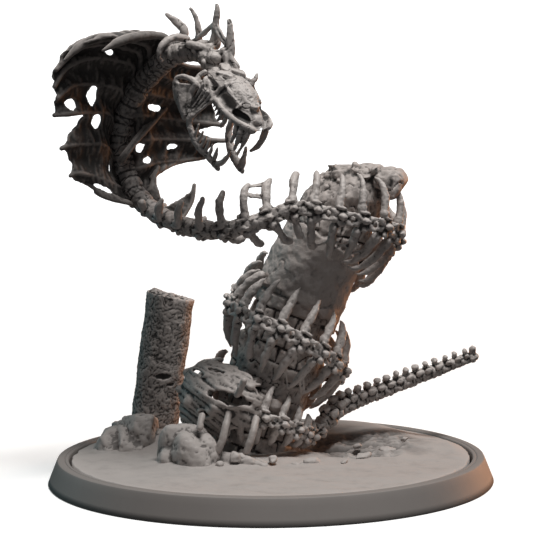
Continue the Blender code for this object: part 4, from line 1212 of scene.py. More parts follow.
def rib_place(where):
    """The arc length at which a vertebra's ribs stand."""
    return where + key_value(RIB_PLACES, 1, where) * key_value(VERTEBRA_KEYS, 1, where)


def add_strand(clay, start, end, radius=0.17, sag=0.15):
    """A dried sinew between two places: a straight line with a little sag, thin in its middle."""
    start, end = np.asarray(start, float), np.asarray(end, float)
    s = np.linspace(0, 1, 14)
    path = start + s[:, None] * (end - start)
    path[:, 2] -= sag * 4 * s * (1 - s)
    clay.bar(path, radius * (1 + 1.2 * (2 * s - 1) ** 4), up=(0.3, 0.9, 0.2), around=8)


def add_sinews(clay, stations):
    """The sinews whose first rib stands in this length."""
    for arc, side, first, last in SINEWS:
        for where in stations:
            if abs(where - arc) < SAME_RIB:
                pitch = key_value(VERTEBRA_KEYS, 1, where)
                here, _ = rib_path(rib_place(where), side)
                there, _ = rib_path(rib_place(where + pitch), side)
                add_strand(clay, here[int(first * (RIB_STEPS - 1))], there[int(last * (RIB_STEPS - 1))])


def bone_skin(clay, cell, seed):
    """The clay's skin with the surface of old bone: crisp joins, low lumps, worn facets and fine pits."""
    skin = clay.joined(cell).smooth(2)
    worn = flaked(skin.points, 1.0, 3, seed + 5) * 0.09
    return skin.push(rough(skin.points, 0.6, 3, seed) * 0.07 + worn)


def make_cage(name, start, stop, nodes, seed):
    """A length of the backbone: its vertebrae, their ribs on both sides and the sinews between them."""
    clay = Clay()
    source = np.random.default_rng(seed)
    if stop > RINGS_START:
        add_neck_rings(clay, max(start, RINGS_START), stop)
    stations = SPINE.stations(start, stop)
    for where in stations:
        width = key_value(VERTEBRA_KEYS, 2, where)
        add_vertebra(clay, where, source)
        for side in (1, -1):
            add_rib(clay, rib_place(where), side, sculpt().rib_radius * width / FULL_VERTEBRA[1], source)
    add_sinews(clay, stations)
    skin = bone_skin(clay, sculpt().bone_cell, seed)
    return show(name, skin, "bone", nodes)


def make_lengths(kind, start, stop, count, seed):
    """A stretch of the backbone, in a number of even lengths."""
    ends = np.linspace(start, stop, count + 1)
    for number, (first, last) in enumerate(zip(ends, ends[1:]), 1):
        nodes = [f"{kind}_{number}_right", f"{kind}_{number}_left"]
        make_cage(f"{kind}_{number}_bones", first, last, nodes, seed + number)


def make_coils():
    """The turns of the coil."""
    make_lengths("coil", TAIL_END, COIL_END, COIL_LENGTHS, 100)


def make_neck():
    """The free neck, up to the hood."""
    make_lengths("neck", COIL_END, NECK_END, NECK_LENGTHS, 120)


# Steps of the tail, and its size by arc length
TAIL_PITCH = 1.5
TAIL_SIZES = [(0.0, 0.8), (4.0, 0.95), (14.0, 1.16), (25.0, 1.36)]
# Balls at each step of the tail: steps along, right (and left) and dorsal, half sizes
TAIL_KNOBS = [
    ((0.0, 0.0, 1.2), (0.46, 0.6, 0.34)),
    ((-0.1, 0.82, 0.4), (0.5, 0.34, 0.42)),
    ((0.3, 0.72, -0.4), (0.4, 0.34, 0.46)),
]


def make_tail():
    """The tail: a ringed underside, two rows of beads on each side, a row of knobs on stalks, a blunt end."""
    clay = Clay()
    source = np.random.default_rng(131)
    arcs = np.arange(0.0, TAIL_END, 0.12)
    centre, _, dorsal, _ = SPINE.frame(arcs)
    size = key_value(TAIL_SIZES, 1, arcs)
    rings = 1 - 0.2 * (np.abs(((arcs / TAIL_PITCH * 2) % 1.0) * 2 - 1)) ** 4
    clay.bar(centre - dorsal * (size * 0.3)[:, None], size * 0.95 * rings, up=dorsal, flat=1.0, around=22)
    for where in np.arange(TAIL_PITCH * 0.75, TAIL_END, TAIL_PITCH):
        middle, along, rise, right = SPINE.frame(where)
        axes = np.stack([along, right, rise]) * key_value(TAIL_SIZES, 1, where)
        stalk = middle + np.array([(0.1, 0, 0.1), (0, 0, 1.3)]) @ axes
        clay.bar(np.linspace(stalk[0], stalk[1], 5), 0.34 * source.uniform(0.9, 1.1), up=along)
        for spot, sizes in TAIL_KNOBS:
            sides = (1, -1) if spot[1] else (1,)
            for side in sides:
                place = middle + (np.array(spot) * (1, side, 1) + source.uniform(-0.05, 0.05, 3)) @ axes
                clay.ball(place, np.array(sizes) * source.uniform(0.88, 1.12), axes)
    middle, along, rise, _ = SPINE.frame(0.3)
    end = np.linspace(middle - rise * 0.5, middle + rise - along * 0.35, 6)
    clay.bar(end, 0.46, up=along, flat=1.2)
    skin = bone_skin(clay, sculpt().head_cell, 132)
    return show("tail_bones", skin, "bone", ["tail"])


# ---- hood and neck inside it ----

# Ribs of the hood: arc length of the root, then places along the rib to its tip
HOOD_RIGHT_RIBS = [
    (189.5, [(-19.0, 2.0, 37.4), (-21.4, 1.2, 38.0), (-23.3, 0.6, 39.0)]),
    (192.0, [(-21.1, 1.5, 40.1), (-23.6, -0.5, 41.2), (-25.5, -2.0, 41.6), (-26.3, -2.6, 41.2)]),
    (195.5, [(-21.9, 1.2, 45.1), (-24.5, -1.5, 45.4), (-26.4, -3.4, 45.2), (-27.3, -4.0, 44.8)]),
    (199.5, [(-21.3, 1.8, 49.3), (-23.4, -1.0, 49.6), (-26.0, -3.8, 49.4), (-28.1, -4.9, 49.2)]),
    (203.0, [(-19.8, 2.2, 52.6), (-22.3, -0.2, 53.3), (-24.3, -2.2, 53.3), (-25.9, -4.2, 52.9),
             (-27.5, -5.6, 51.3)]),
    (206.0, [(-18.1, 2.2, 55.8), (-20.5, 0.2, 56.6), (-22.5, -1.8, 56.8), (-24.6, -3.8, 56.3),
             (-26.5, -5.2, 55.1), (-27.8, -6.0, 52.7)]),
    (208.5, [(-17.1, 1.2, 57.4), (-20.1, -1.0, 58.4), (-22.8, -3.0, 58.4), (-25.2, -5.2, 57.4),
             (-27.5, -6.6, 54.9)]),
    (211.0, [(-16.1, -0.2, 58.6), (-19.6, -2.6, 59.4), (-22.2, -4.8, 59.1), (-24.1, -6.4, 58.2),
             (-26.3, -7.6, 56.1)]),
    (213.5, [(-13.4, -1.6, 59.3), (-15.4, -3.2, 59.6), (-17.5, -5.2, 59.2), (-19.3, -6.8, 58.5),
             (-21.3, -7.8, 57.3)]),
]
HOOD_LEFT_RIBS = [
    (183.0, [(-10.7, 3.6, 36.9), (-10.1, 4.2, 39.8)]),
    (191.0, [(-16.2, 4.6, 39.1), (-15.8, 5.6, 40.6), (-15.2, 6.6, 42.2)]),
    (194.5, [(-17.5, 4.6, 42.1), (-15.2, 7.0, 42.7), (-12.0, 10.2, 43.0), (-8.9, 12.8, 43.4)]),
    (198.5, [(-17.2, 4.4, 45.9), (-14.6, 7.0, 46.0), (-10.9, 10.2, 45.9), (-5.6, 12.2, 45.7)]),
    (201.5, [(-17.6, 3.6, 49.3), (-15.1, 6.2, 49.0), (-12.2, 8.8, 48.6), (-6.2, 12.4, 47.9)]),
    (204.5, [(-16.5, 3.8, 52.2), (-14.7, 5.8, 51.9), (-12.4, 8.4, 51.5), (-6.7, 12.0, 51.4)]),
    (207.5, [(-14.5, 3.2, 54.6), (-12.8, 5.4, 54.0), (-10.7, 7.6, 53.8), (-7.2, 10.6, 53.9)]),
    (210.5, [(-12.8, 1.8, 56.6), (-11.0, 4.0, 55.9), (-9.2, 6.0, 55.7), (-7.6, 8.0, 55.7)]),
]
# How far the skin reaches along the ribs, by rib number
HOOD_RIGHT_REACH = [
    (0, 0.97), (1, 0.97), (1.4, 0.86), (2, 0.97), (2.5, 0.78), (2.97, 0.62), (3.03, 0.97), (3.5, 0.98),
    (4, 0.98), (5, 0.98), (6, 0.98), (6.5, 0.92), (7, 0.86), (7.5, 0.76), (8, 0.66),
]
HOOD_LEFT_REACH = [
    (0, 0.9), (0.5, 0.3), (1, 0.9), (1.5, 0.86), (2, 0.96), (2.5, 0.9), (3, 0.94), (3.5, 0.72),
    (4, 0.95), (5, 0.93), (6, 0.93), (7, 0.93),
]
# Ribs of the right half that are thick and pointed, as tusks
HOOD_TUSKS = (7, 8)
# The way the hood's hollow side faces: that side gets painted shade
HOOD_FACING = (0.55, -0.8, -0.25)
# Where the hood's ribs start beside and behind the spine
HOOD_ROOT = 0.6
HOOD_BACK = 0.9
# Points along a rib, rows of the skin from one rib to the next, and its points from root to tip
HOOD_SHARES = 90
HOOD_STEPS = 24
HOOD_DOWN = 120
HOOD_THICKNESS = 0.42
# Half thickness of the hood's ribs along them
HOOD_RIB_PLACES = (0, 0.2, 0.6, 0.85, 1.0)
HOOD_RIB_SIZES = (0.42, 0.3, 0.3, 0.4, 0.34)
HOOD_TUSK_SIZES = (0.42, 0.5, 0.68, 0.56, 0.2)
# Holes in each half: place by rib number and by share from root to tip, then half sizes in ribs and share
HOOD_RIGHT_HOLES = [
    (5.35, 0.42, 0.16, 0.035), (3.62, 0.55, 0.36, 0.055), (3.3, 0.8, 0.2, 0.055),
    (2.7, 0.5, 0.25, 0.06), (1.5, 0.22, 0.3, 0.06), (0.5, 0.55, 0.2, 0.3),
]
HOOD_LEFT_HOLES = [
    (4.4, 0.36, 0.15, 0.07), (2.7, 0.2, 0.15, 0.05), (2.65, 0.55, 0.14, 0.05),
    (2.2, 0.3, 0.08, 0.05),
]
# Long spines over the neck's last bend: arc length of the root, places to the tip, radius
CREST_SPINES = [
    (214.0, [(-11.1, -0.4, 59.9), (-11.8, -0.4, 61.3), (-13.3, -0.4, 62.5)], 0.85),
    (217.0, [(-9.1, -2.4, 59.0), (-9.15, -2.7, 61.0), (-9.5, -2.8, 62.2), (-10.0, -2.8, 63.0)], 0.62),
    (219.7, [(-7.0, -4.4, 58.2), (-6.65, -4.9, 61.0), (-6.5, -5.0, 62.2), (-6.5, -5.0, 63.3)], 0.78),
    (222.3, [(-4.95, -6.8, 56.7), (-4.75, -7.0, 59.0), (-4.75, -7.0, 60.3), (-4.85, -7.0, 61.2)], 0.85),
]
# Struts between them: places, radius
CREST_STRUTS = [
    ([(-9.1, -2.7, 59.2), (-7.9, -3.8, 60.1), (-6.8, -4.8, 61.0)], 0.36),
    ([(-6.6, -4.9, 61.0), (-6.0, -5.8, 59.8), (-5.2, -6.6, 58.4)], 0.2),
    ([(-6.7, -5.0, 60.4), (-6.2, -5.8, 59.2), (-5.3, -6.5, 57.9)], 0.2),
    ([(-10.2, -4.4, 58.3), (-9.0, -4.9, 58.0), (-7.5, -5.3, 57.5)], 0.56),
    ([(-4.9, -6.9, 57.2), (-4.5, -7.2, 56.0), (-3.9, -7.5, 55.2)], 0.5),
    ([(-5.3, -7.1, 56.8), (-5.2, -7.3, 55.6), (-4.8, -7.6, 54.9)], 0.5),
]
# Lumps of bone between the last vertebrae and the skull: centre, half sizes
CREST_KNOBS = [
    ((-6.9, -6.6, 56.4), (1.05, 0.95, 0.9)),
    ((-5.6, -6.6, 57.2), (0.7, 0.7, 0.6)),
    ((-5.7, -7.4, 55.4), (0.6, 0.45, 0.36)),
    ((-9.9, -3.4, 58.2), (0.7, 0.6, 0.6)),
    ((-7.6, -5.0, 57.8), (0.75, 0.7, 0.6)),
]
# The horn beside the neck's last bend, and the torn strap of skin before the hood's far half
NECK_HORN = [
    (-10.5, -3.4, 59.0), (-11.9, -5.0, 59.2), (-13.1, -6.0, 58.6), (-13.9, -6.4, 57.6),
    (-14.1, -6.2, 56.6), (-13.8, -5.6, 56.2),
]
TORN_STRAP = [
    (-19.9, 2.2, 43.0), (-19.2, 1.4, 44.0), (-17.4, 3.2, 46.4), (-15.4, 5.6, 48.8), (-14.2, 7.4, 50.2),
]
STRAP_STRANDS = 4
# Rings of the neck's underside: pitch, share of the broad plate in each, half size by arc length
NECK_RING = 2.85
BROAD_PLATE = 0.66
NECK_SIZES = [(160, 0.95), (172, 1.2), (188, 1.4), (198, 1.6), (208, 1.6), (216, 1.45), (224, 1.2)]
# Where the rings of the neck begin to stand closer
CLOSE_RINGS = 213.0


def kept_cells(open_):
    """The cells of a grid that are left: those with neither of two opposite corners open."""
    return ~(open_[:-1, :-1] | open_[1:, 1:])


def hood_rib(arc, places, side):
    """One rib of the hood, from behind the spine to its tip."""
    centre, _, dorsal, right = SPINE.frame(arc)
    root = centre + side * right * HOOD_ROOT + dorsal * HOOD_BACK
    return even_path(np.vstack([root, places]), HOOD_SHARES)


def hood_sheet(ribs, side, reach_keys):
    """The smooth surface through the ribs: its points, and each one's rib number and share along the rib."""
    lines = np.stack([hood_rib(arc, places, side) for arc, places in ribs])
    sheet = smooth_curve(lines.reshape(len(ribs), -1), HOOD_STEPS).reshape(-1, HOOD_SHARES, 3)
    number = np.linspace(0, len(ribs) - 1, len(sheet))
    edge = noise(xyz(number * 4), 1.0, len(ribs)) * 0.035
    share = np.linspace(0, 1, HOOD_DOWN) * (key_value(reach_keys, 1, number) + edge)[:, None]
    place = np.clip(share, 0, 0.999) * (HOOD_SHARES - 1)
    first = place.astype(int)
    row = np.arange(len(sheet))[:, None]
    part = (place - first)[..., None]
    points = sheet[row, first] * (1 - part) + sheet[row, first + 1] * part
    return points, np.broadcast_to(number[:, None], share.shape), share


def hood_membrane(ribs, side, reach_keys, holes, seed):
    """The torn skin of one half: it sags between the ribs and hangs in folds that run from rib to rib, with
    ragged holes. Returns its points, and which of its cells are left."""
    points, number, share = hood_sheet(ribs, side, reach_keys)
    back = unit(np.cross(np.gradient(points, axis=0), np.gradient(points, axis=1))) * -side
    between = np.sin(number * math.pi) ** 2
    flat = xyz(number, share)
    warped = flat + noise(flat * (1.5, 5, 1), 1.0, seed)[..., None] * (0, 0.035, 0)
    folds = np.abs(noise(warped * (0.9, 14, 1), 1.0, seed + 1)) * 0.4 - 0.13
    fine = np.abs(noise(warped * (1.5, 27, 1), 1.0, seed + 2)) * 0.26 - 0.1
    points = points + back * (between * 0.5 * ease(0, 0.2, share) - folds * between - fine)[..., None]
    wobble = noise(flat * (6, 30, 1), 1.0, seed + 4) * 0.3
    open_ = np.zeros(number.shape, bool)
    for place, level, wide, long_ in holes:
        open_ |= np.hypot((number - place) / wide, (share - level) / long_) + wobble < 1
    return points, kept_cells(open_)


def make_hood_half(name, ribs, side, reach_keys, holes, node, seed):
    """One half of the hood: its skin, and a rib along each of its ridges with a blunt tip."""
    clay = Clay()
    points, kept = hood_membrane(ribs, side, reach_keys, holes, seed)
    clay.plate(points, HOOD_THICKNESS, kept)
    for number, (arc, places) in enumerate(ribs):
        path = hood_rib(arc, places, side)[2::2]
        s = np.linspace(0, 1, len(path))
        tusk = side > 0 and number in HOOD_TUSKS
        radii = np.interp(s, HOOD_RIB_PLACES, HOOD_TUSK_SIZES if tusk else HOOD_RIB_SIZES)
        clay.bar(path, radii * (1 + noise(path, 1.2, seed + number) * 0.1), up=(0.2, 1, 0.1), around=12)
    if side < 0:
        add_strap(clay)
    skin = clay.joined(sculpt().hood_cell).smooth(2)
    skin.push(rough(skin.points, 0.8, 3, seed + 7) * 0.04)
    # Painted shade: the hood's inner side, which faces HOOD_FACING, is painted dark, over less of the painted
    # crevice shade
    inward = skin.normals() @ unit(HOOD_FACING)
    inside = ease(-0.1, 0.4, inward)
    skin.darken(0.62 * inside, 1 - 0.6 * inside)
    return show(name, skin, "skin", [node])


def make_hood():
    """Both halves of the hood."""
    right = (HOOD_RIGHT_RIBS, 1, HOOD_RIGHT_REACH, HOOD_RIGHT_HOLES)
    left = (HOOD_LEFT_RIBS, -1, HOOD_LEFT_REACH, HOOD_LEFT_HOLES)
    make_hood_half("hood_right_torn", *right, "hood_right", 171)
    make_hood_half("hood_left_torn", *left, "hood_left", 181)


def add_strap(clay):
    """A torn strap of skin in front of the far half: strands side by side, twisted about each other."""
    path = even_path(TORN_STRAP, 30)
    s = np.linspace(0, 1, 30)
    for number in range(STRAP_STRANDS):
        turn = s * 2.2 + number * 1.4
        off = xyz(np.cos(turn) * 0.3, 0.14 * np.sin(turn * 2), np.sin(turn) * 0.18)
        strand = path + off * (1.2 - 0.5 * s)[:, None]
        clay.bar(strand, 0.32 - 0.06 * np.abs(2 * s - 1), up=(0, 1, 0), around=10)


def nearest_arc(points):
    """The arc length of the neck's centre line nearest to each point, among samples 1 mm apart."""
    arcs = np.arange(NECK_END, SPINE.end, 1.0)
    centre = SPINE.frame(arcs)[0]
    gaps = np.stack([np.linalg.norm(points - spot, axis=1) for spot in centre])
    return arcs[np.argmin(gaps, axis=0)]


def add_neck_rings(clay, start, stop):
    """The ringed underside of the neck: a tube with a broad and a narrow plate in each ring, creased where
    they meet."""
    arcs = np.arange(start, stop, 0.1)
    centre, _, dorsal, _ = SPINE.frame(arcs)
    drift = 0.06 * noise(xyz(arcs), 4.0, 5)
    close = np.clip(arcs - CLOSE_RINGS, 0, None) * 1.2
    phase = ((arcs + close) / NECK_RING + drift) % 1.0
    broad = phase < BROAD_PLATE
    within = np.where(broad, phase / BROAD_PLATE, (phase - BROAD_PLATE) / (1 - BROAD_PLATE))
    plateau = 1 - np.abs(2 * within - 1) ** 7
    size = key_value(NECK_SIZES, 1, arcs)
    radius = size * (0.82 + plateau * np.where(broad, 0.2, 0.14))
    clay.bar(centre - dorsal * (size * 0.22)[:, None], radius, up=dorsal, flat=0.95, around=44)


def add_crest(clay):
    """The long spines over the neck's last bend, each a bent taper, with struts, knobs and a horn below."""
    for root, places, radius in CREST_SPINES:
        centre, _, dorsal, _ = SPINE.frame(root)
        path = even_path(np.vstack([centre + dorsal * 0.5, places]), 30)
        s = np.linspace(0, 1, 30)
        radii = np.interp(s, [0, 0.25, 0.5, 0.85, 1], [1.3, 1.05, 0.8, 0.6, 0.4]) * radius
        clay.bar(path, radii * (1 + noise(path, 0.9, int(root)) * 0.08), up=(0, -1, 0.1), flat=0.6)
    for places, radius in CREST_STRUTS:
        clay.bar(even_path(places, 14), radius, up=(0, 1, 0), around=10)
    for centre, sizes in CREST_KNOBS:
        clay.ball(centre, sizes, around=20, up=11)
    radii = np.interp(np.linspace(0, 1, 30), [0, 0.25, 0.7, 1], [0.62, 0.6, 0.48, 0.25])
    clay.bar(even_path(NECK_HORN, 30), radii, up=(0, -1, 0.2))


def make_hood_spines():
    """The backbone inside the hood, in two lengths, ringed on the side of the throat."""
    for name, node, start, stop, seed in (
        ("neck_rings_lower", "hood_spine_lower", NECK_END, HOOD_MIDDLE, 141),
        ("neck_rings_upper", "hood_spine_upper", HOOD_MIDDLE, SPINE.end, 142),
    ):
        clay = Clay()
        source = np.random.default_rng(seed)
        add_neck_rings(clay, start - 0.2, stop)
        for where in SPINE.stations(start, stop):
            add_vertebra(clay, where, source)
        if start == HOOD_MIDDLE:
            add_crest(clay)
        skin = clay.joined(sculpt().bone_cell * 0.95).smooth(2)
        cracks = creased(skin.points, 1.8, 0.04, seed + 3) * 0.14
        worn = flaked(skin.points, 2.6, 2, seed + 2) * 0.12 - cracks
        skin.push(rough(skin.points, 0.7, 3, seed + 1) * 0.05 + worn)
        # Painted shade on the neck inside the hood, up to about 218 mm along the spine, over less of the
        # painted crevice shade
        shaded = ease(218.0, 210.0, nearest_arc(skin.points))
        skin.darken(0.5 * shaded, 1 - 0.35 * shaded)
        show(name, skin, "bone", [node])


# ---- dried skin on the lowest turn ----

# Where the dried skin lies: arc lengths, and angles round the body in degrees. How many points it has each
# way, and how thick it is
SKIN_START = 39.0
SKIN_END = 52.0
SKIN_ANGLES = (-44, 82)
SKIN_POINTS = 150
SKIN_THICKNESS = 0.45
# Holes: place along and across, from 0 to 1, and half sizes
SKIN_HOLES = [
    (0.24, 0.5, 0.16, 0.07), (0.42, 0.27, 0.05, 0.03), (0.62, 0.7, 0.1, 0.026),
    (0.45, 0.8, 0.1, 0.026),
]
# Ends of ribs that press through: place along and across, from 0 to 1
SKIN_LUMPS = [(0.86, 0.42), (0.62, 0.34), (0.34, 0.34), (0.18, 0.46), (0.92, 0.62), (0.12, 0.72)]
# Ends of ribs that stand out from under the skin
CUT_RIBS = [
    ([(-5.4, -5.6, 10.0), (-5.9, -6.9, 8.2), (-6.3, -7.3, 6.6), (-6.9, -7.2, 5.2)], 0.52),
    ([(-1.9, -5.2, 8.9), (-2.2, -6.4, 7.8), (-2.6, -6.8, 6.4), (-3.2, -6.7, 4.9)], 0.5),
    ([(-4.4, -5.8, 12.3), (-4.1, -7.1, 12.8), (-3.4, -7.6, 14.4)], 0.46),
    ([(-9.0, -6.0, 9.6), (-9.2, -6.6, 8.8), (-9.3, -6.9, 8.2)], 0.5),
]


def make_skin_patch():
    """Dried skin over the ribs: their own curve lifted outward, drawn into wrinkles that run along the body
    and part round its holes."""
    steps = np.linspace(0, 1, SKIN_POINTS)
    u, v = np.meshgrid(steps, steps, indexing="ij")
    flat = xyz(u, v)
    where = SKIN_START + (SKIN_END - SKIN_START) * u
    centre, _, dorsal, right = SPINE.frame(where)
    reach = key_value(RIGHT_RIB_KEYS, 1, where) + 0.9
    depth = key_value(RIGHT_RIB_KEYS, 2, where)
    angle = np.radians(SKIN_ANGLES[0] + (SKIN_ANGLES[1] - SKIN_ANGLES[0]) * v)
    flow = v - 0.35 * (u - 0.5) + 0.16 * noise(flat * (2.0, 2.0, 1), 1.0, 152)
    open_ = np.zeros(u.shape, bool)
    bag = np.sin(math.pi * u) * np.sin(math.pi * v)
    lift = 1.0 + 2.1 * bag**0.7 + 0.5 * noise(flat * (2.5, 2.0, 1), 1.0, 151)
    wobble = noise(flat * (16, 30, 1), 1.0, 155) * 0.25
    for along, level, long_, wide in SKIN_HOLES:
        gap = np.hypot((u - along) / long_, (v - level) / wide)
        open_ |= gap + wobble < 1
        flow = flow + (v - level) * np.exp(-((gap / 2.2) ** 2)) * 0.9
        lift = lift + 0.35 * np.exp(-(((gap - 1.2) / 0.4) ** 2))
    for along, level in SKIN_LUMPS:
        lift = lift + 0.8 * np.exp(-(((u - along) / 0.045) ** 2) - ((v - level) / 0.05) ** 2)
    lines = xyz(u * 1.7, flow * 9)
    wrinkles = noise(lines, 1.0, 153) * 0.24 - np.abs(noise(lines * (1.3, 2.2, 1), 1.0, 154)) * 0.42
    wrinkles = wrinkles - np.abs(noise(lines * (2.0, 4.5, 1), 1.0, 158)) * 0.24
    drop = depth * (1 - np.cos(angle)) - lift - wrinkles
    points = centre + right * (reach * np.sin(angle))[..., None] - dorsal * drop[..., None]
    corner = np.abs(2 * u - 1) ** 2.4 + np.abs(2 * v - 1) ** 2.4
    open_ |= corner + noise(flat * (11, 11, 1), 1.0, 156) * 0.25 > 0.95
    clay = Clay()
    clay.plate(points, SKIN_THICKNESS, kept_cells(open_))
    for places, radius in CUT_RIBS:
        path = even_path(places, 16)
        clay.bar(path, radius * (1 + noise(path, 0.8, 159) * 0.1), up=(0.3, 1, 0.1))
    skin = clay.joined(sculpt().patch_cell).smooth(3)
    skin.push(rough(skin.points, 0.6, 3, 157) * 0.04 + flaked(skin.points, 1.2, 3, 160) * 0.02)
    return show("dried_skin", skin, "skin", ["skin_patch"])


# ---- head ----

# The head's own axes: forward, left and up, from the joint with the neck
HEAD_ORIGIN = (-6.5, -6.8, 54.9)
HEAD_FORWARD = (0.56, -0.57, -0.60)
HEAD_LEFT = (0.713, 0.70, 0.0)
# The skull's solid body, by sections: forward, height of the roof, half width and height of the brow, half
# width and height of the cheek, height of the floor
SKULL_SECTIONS = [
    (-0.8, -0.2, 0.75, -0.35, 0.9, -0.7, -1.1), (0.6, 0.2, 1.15, 0.0, 1.7, -0.75, -1.4),
    (1.7, 0.45, 1.5, 0.2, 2.2, -0.8, -1.5), (3.0, 0.7, 1.65, 0.3, 2.45, -1.1, -1.8),
    (3.9, 0.95, 1.9, 0.42, 2.6, -1.5, -2.1), (4.6, 1.1, 2.05, 0.45, 2.65, -1.7, -2.2),
    (6.0, 1.05, 2.15, 0.12, 2.7, -1.8, -2.25), (7.2, 0.75, 2.0, -0.15, 2.7, -1.8, -2.25),
    (7.8, 0.45, 1.65, -0.3, 2.65, -1.8, -2.2), (8.4, 0.15, 1.2, -0.45, 2.6, -1.7, -2.15),
    (9.4, -0.45, 1.05, -0.85, 2.4, -1.6, -2.05), (10.2, -1.1, 0.95, -1.35, 2.15, -1.55, -2.05),
    (10.7, -1.65, 0.8, -1.75, 1.9, -1.6, -2.1), (11.2, -1.9, 0.5, -1.95, 1.4, -1.8, -2.2),
]
# Bars on each side: points of the path (forward, out, up), radii, flatness
SIDE_BARS = [
    ([(3.8, 2.4, -1.5), (3.9, 2.35, -0.6), (4.15, 2.1, 0.3), (4.6, 1.75, 0.75)],
     (0.42, 0.34, 0.32, 0.28), 0.9),
    ([(4.2, 1.95, 0.4), (5.2, 2.12, 0.3), (6.2, 2.15, 0.08), (7.2, 2.0, -0.18), (7.8, 1.75, -0.35)],
     (0.26, 0.28, 0.26, 0.26), 0.9),
    ([(1.7, 2.3, -0.9), (2.8, 2.4, -1.35), (3.7, 2.55, -1.7), (4.9, 2.65, -1.83), (6.2, 2.7, -1.92),
      (7.9, 2.65, -1.85), (9.4, 2.5, -1.65), (10.7, 2.1, -1.62), (11.2, 1.5, -1.8)],
     (0.4, 0.5, 0.5, 0.46, 0.44, 0.44, 0.46, 0.42), 0.9),
    ([(7.6, 1.8, -0.25), (7.75, 2.2, -0.9), (7.8, 2.5, -1.6)], (0.34, 0.3, 0.34), 0.9),
    ([(-1.3, 3.95, -3.35), (-2.0, 3.9, -3.35), (-2.1, 3.8, -2.9), (-1.2, 3.6, -2.1), (-0.1, 3.4, -1.75),
      (0.7, 3.2, -1.85)],
     (0.4, 0.38, 0.36, 0.4, 0.42, 0.45), 1.0),
    ([(-2.1, 3.95, -3.6), (-1.5, 3.95, -4.5), (-0.65, 3.95, -5.2), (0.8, 3.9, -5.8), (2.0, 3.8, -6.3)],
     (0.34, 0.28, 0.28, 0.28, 0.32), 1.0),
    ([(0.7, 3.2, -1.9), (0.75, 3.4, -3.2), (1.3, 3.6, -3.95), (1.7, 3.7, -4.9), (2.5, 3.75, -5.4)],
     (0.5, 0.5, 0.44, 0.36, 0.36), 1.0),
    ([(0.2, 2.2, -0.4), (0.0, 2.6, -1.1), (0.3, 2.9, -1.6)], (0.32, 0.36, 0.4), 1.0),
]
# The two edges of the plate between the loop and the jaw, as rows of SIDE_BARS
PLATE_EDGES = (5, 6)
# The blade over the temple: its upper and its lower edge
FIN_EDGES = (
    [(0.9, 1.85, 0.1), (1.5, 1.85, 0.45), (2.8, 1.85, 0.6), (4.2, 1.75, 0.75)],
    [(0.6, 2.05, -0.25), (1.5, 2.3, -0.05), (2.6, 2.45, 0.0), (4.2, 2.35, -0.2)],
)
# Dried tendons between the cheek and the jaw's joint, under painted shade: start and end
TENDONS = [
    ((1.6, 2.9, -1.9), (1.7, 3.75, -5.7)),
    ((2.2, 2.8, -1.8), (2.1, 3.75, -5.8)),
    ((2.8, 2.7, -1.8), (2.5, 3.75, -5.7)),
    ((3.4, 2.6, -2.0), (2.8, 3.7, -5.4)),
    ((3.9, 2.5, -2.2), (3.0, 3.7, -5.2)),
]
# The horn over the brow: places, radii
HORN = ([(5.3, 1.5, 0.3), (5.2, 2.05, 1.1), (4.85, 2.55, 1.75)], (0.55, 0.4, 0.14))
# Broken plates of bone on each side: centre, half sizes
SIDE_ROCKS = [
    ((1.3, 2.55, -1.25), (0.95, 0.45, 0.7)),
    ((0.5, 2.95, -1.75), (0.6, 0.4, 0.5)),
    ((3.1, 2.45, -1.7), (0.9, 0.4, 0.6)),
    ((4.3, 2.6, -2.1), (0.7, 0.35, 0.4)),
    ((2.6, 1.2, 0.75), (1.3, 0.7, 0.4)),
]
# Broken plates along the middle of the skull
SNOUT_ROCKS = [
    ((9.9, 0.0, -1.3), (0.95, 0.8, 0.7)),
    ((8.6, 0.0, -0.1), (0.8, 1.0, 0.45)),
    ((1.2, 0.2, 0.5), (1.3, 0.9, 0.5)),
]
# The skull leans over to its right: height gained per step to the left, and where the lean starts. Its far
# side is foreshortened by a factor
HEAD_LEAN = 0.17
LEAN_START = 2.9
HEAD_TURN = 0.72
# Hollows pressed into each side: centre, half sizes, slopes backward and upward
SKULL_DENTS = [
    ((6.1, 2.75, -0.75), (1.75, 0.98, 0.82), (0.0, 0.3)),
    ((9.0, 2.05, -1.02), (1.5, 1.1, 0.56), (-0.3, 0.75)),
    ((2.1, 2.15, -0.32), (0.75, 0.7, 0.26), (0.0, 0.0)),
    ((3.2, 2.5, -0.75), (0.5, 0.5, 0.45), (0.0, 0.0)),
]
# Painted shade and painted light in each of these hollows: how much darker or lighter the finish is there
DENT_PAINTED_LIGHT_AND_SHADE = (-0.2, 0.6, 0.2, 0.0)
SNOUT_DENT = ((10.9, 0.0, -2.0), (0.5, 0.42, 0.42))
# Teeth of one side: root, tip, radius
UPPER_TEETH = [
    ((4.5, 2.6, -2.2), (4.45, 2.6, -2.95), 0.18),
    ((5.1, 2.65, -2.2), (5.0, 2.65, -3.1), 0.22),
    ((5.7, 2.7, -2.2), (5.65, 2.7, -3.3), 0.26),
    ((6.4, 2.7, -2.2), (6.3, 2.7, -3.6), 0.32),
    ((7.3, 2.7, -2.2), (7.2, 2.7, -3.85), 0.34),
    ((8.3, 2.7, -2.1), (8.6, 2.7, -4.0), 0.35),
    ((9.3, 2.55, -2.0), (9.85, 2.6, -4.35), 0.36),
    ((10.1, 2.35, -1.95), (10.7, 2.4, -4.85), 0.38),
    ((10.9, 1.95, -1.95), (11.3, 2.0, -4.6), 0.38),
]
# The far side shows this many of the teeth, and every third tooth of the jaw
FAR_TEETH = 5
FAR_JAW_TEETH = 3
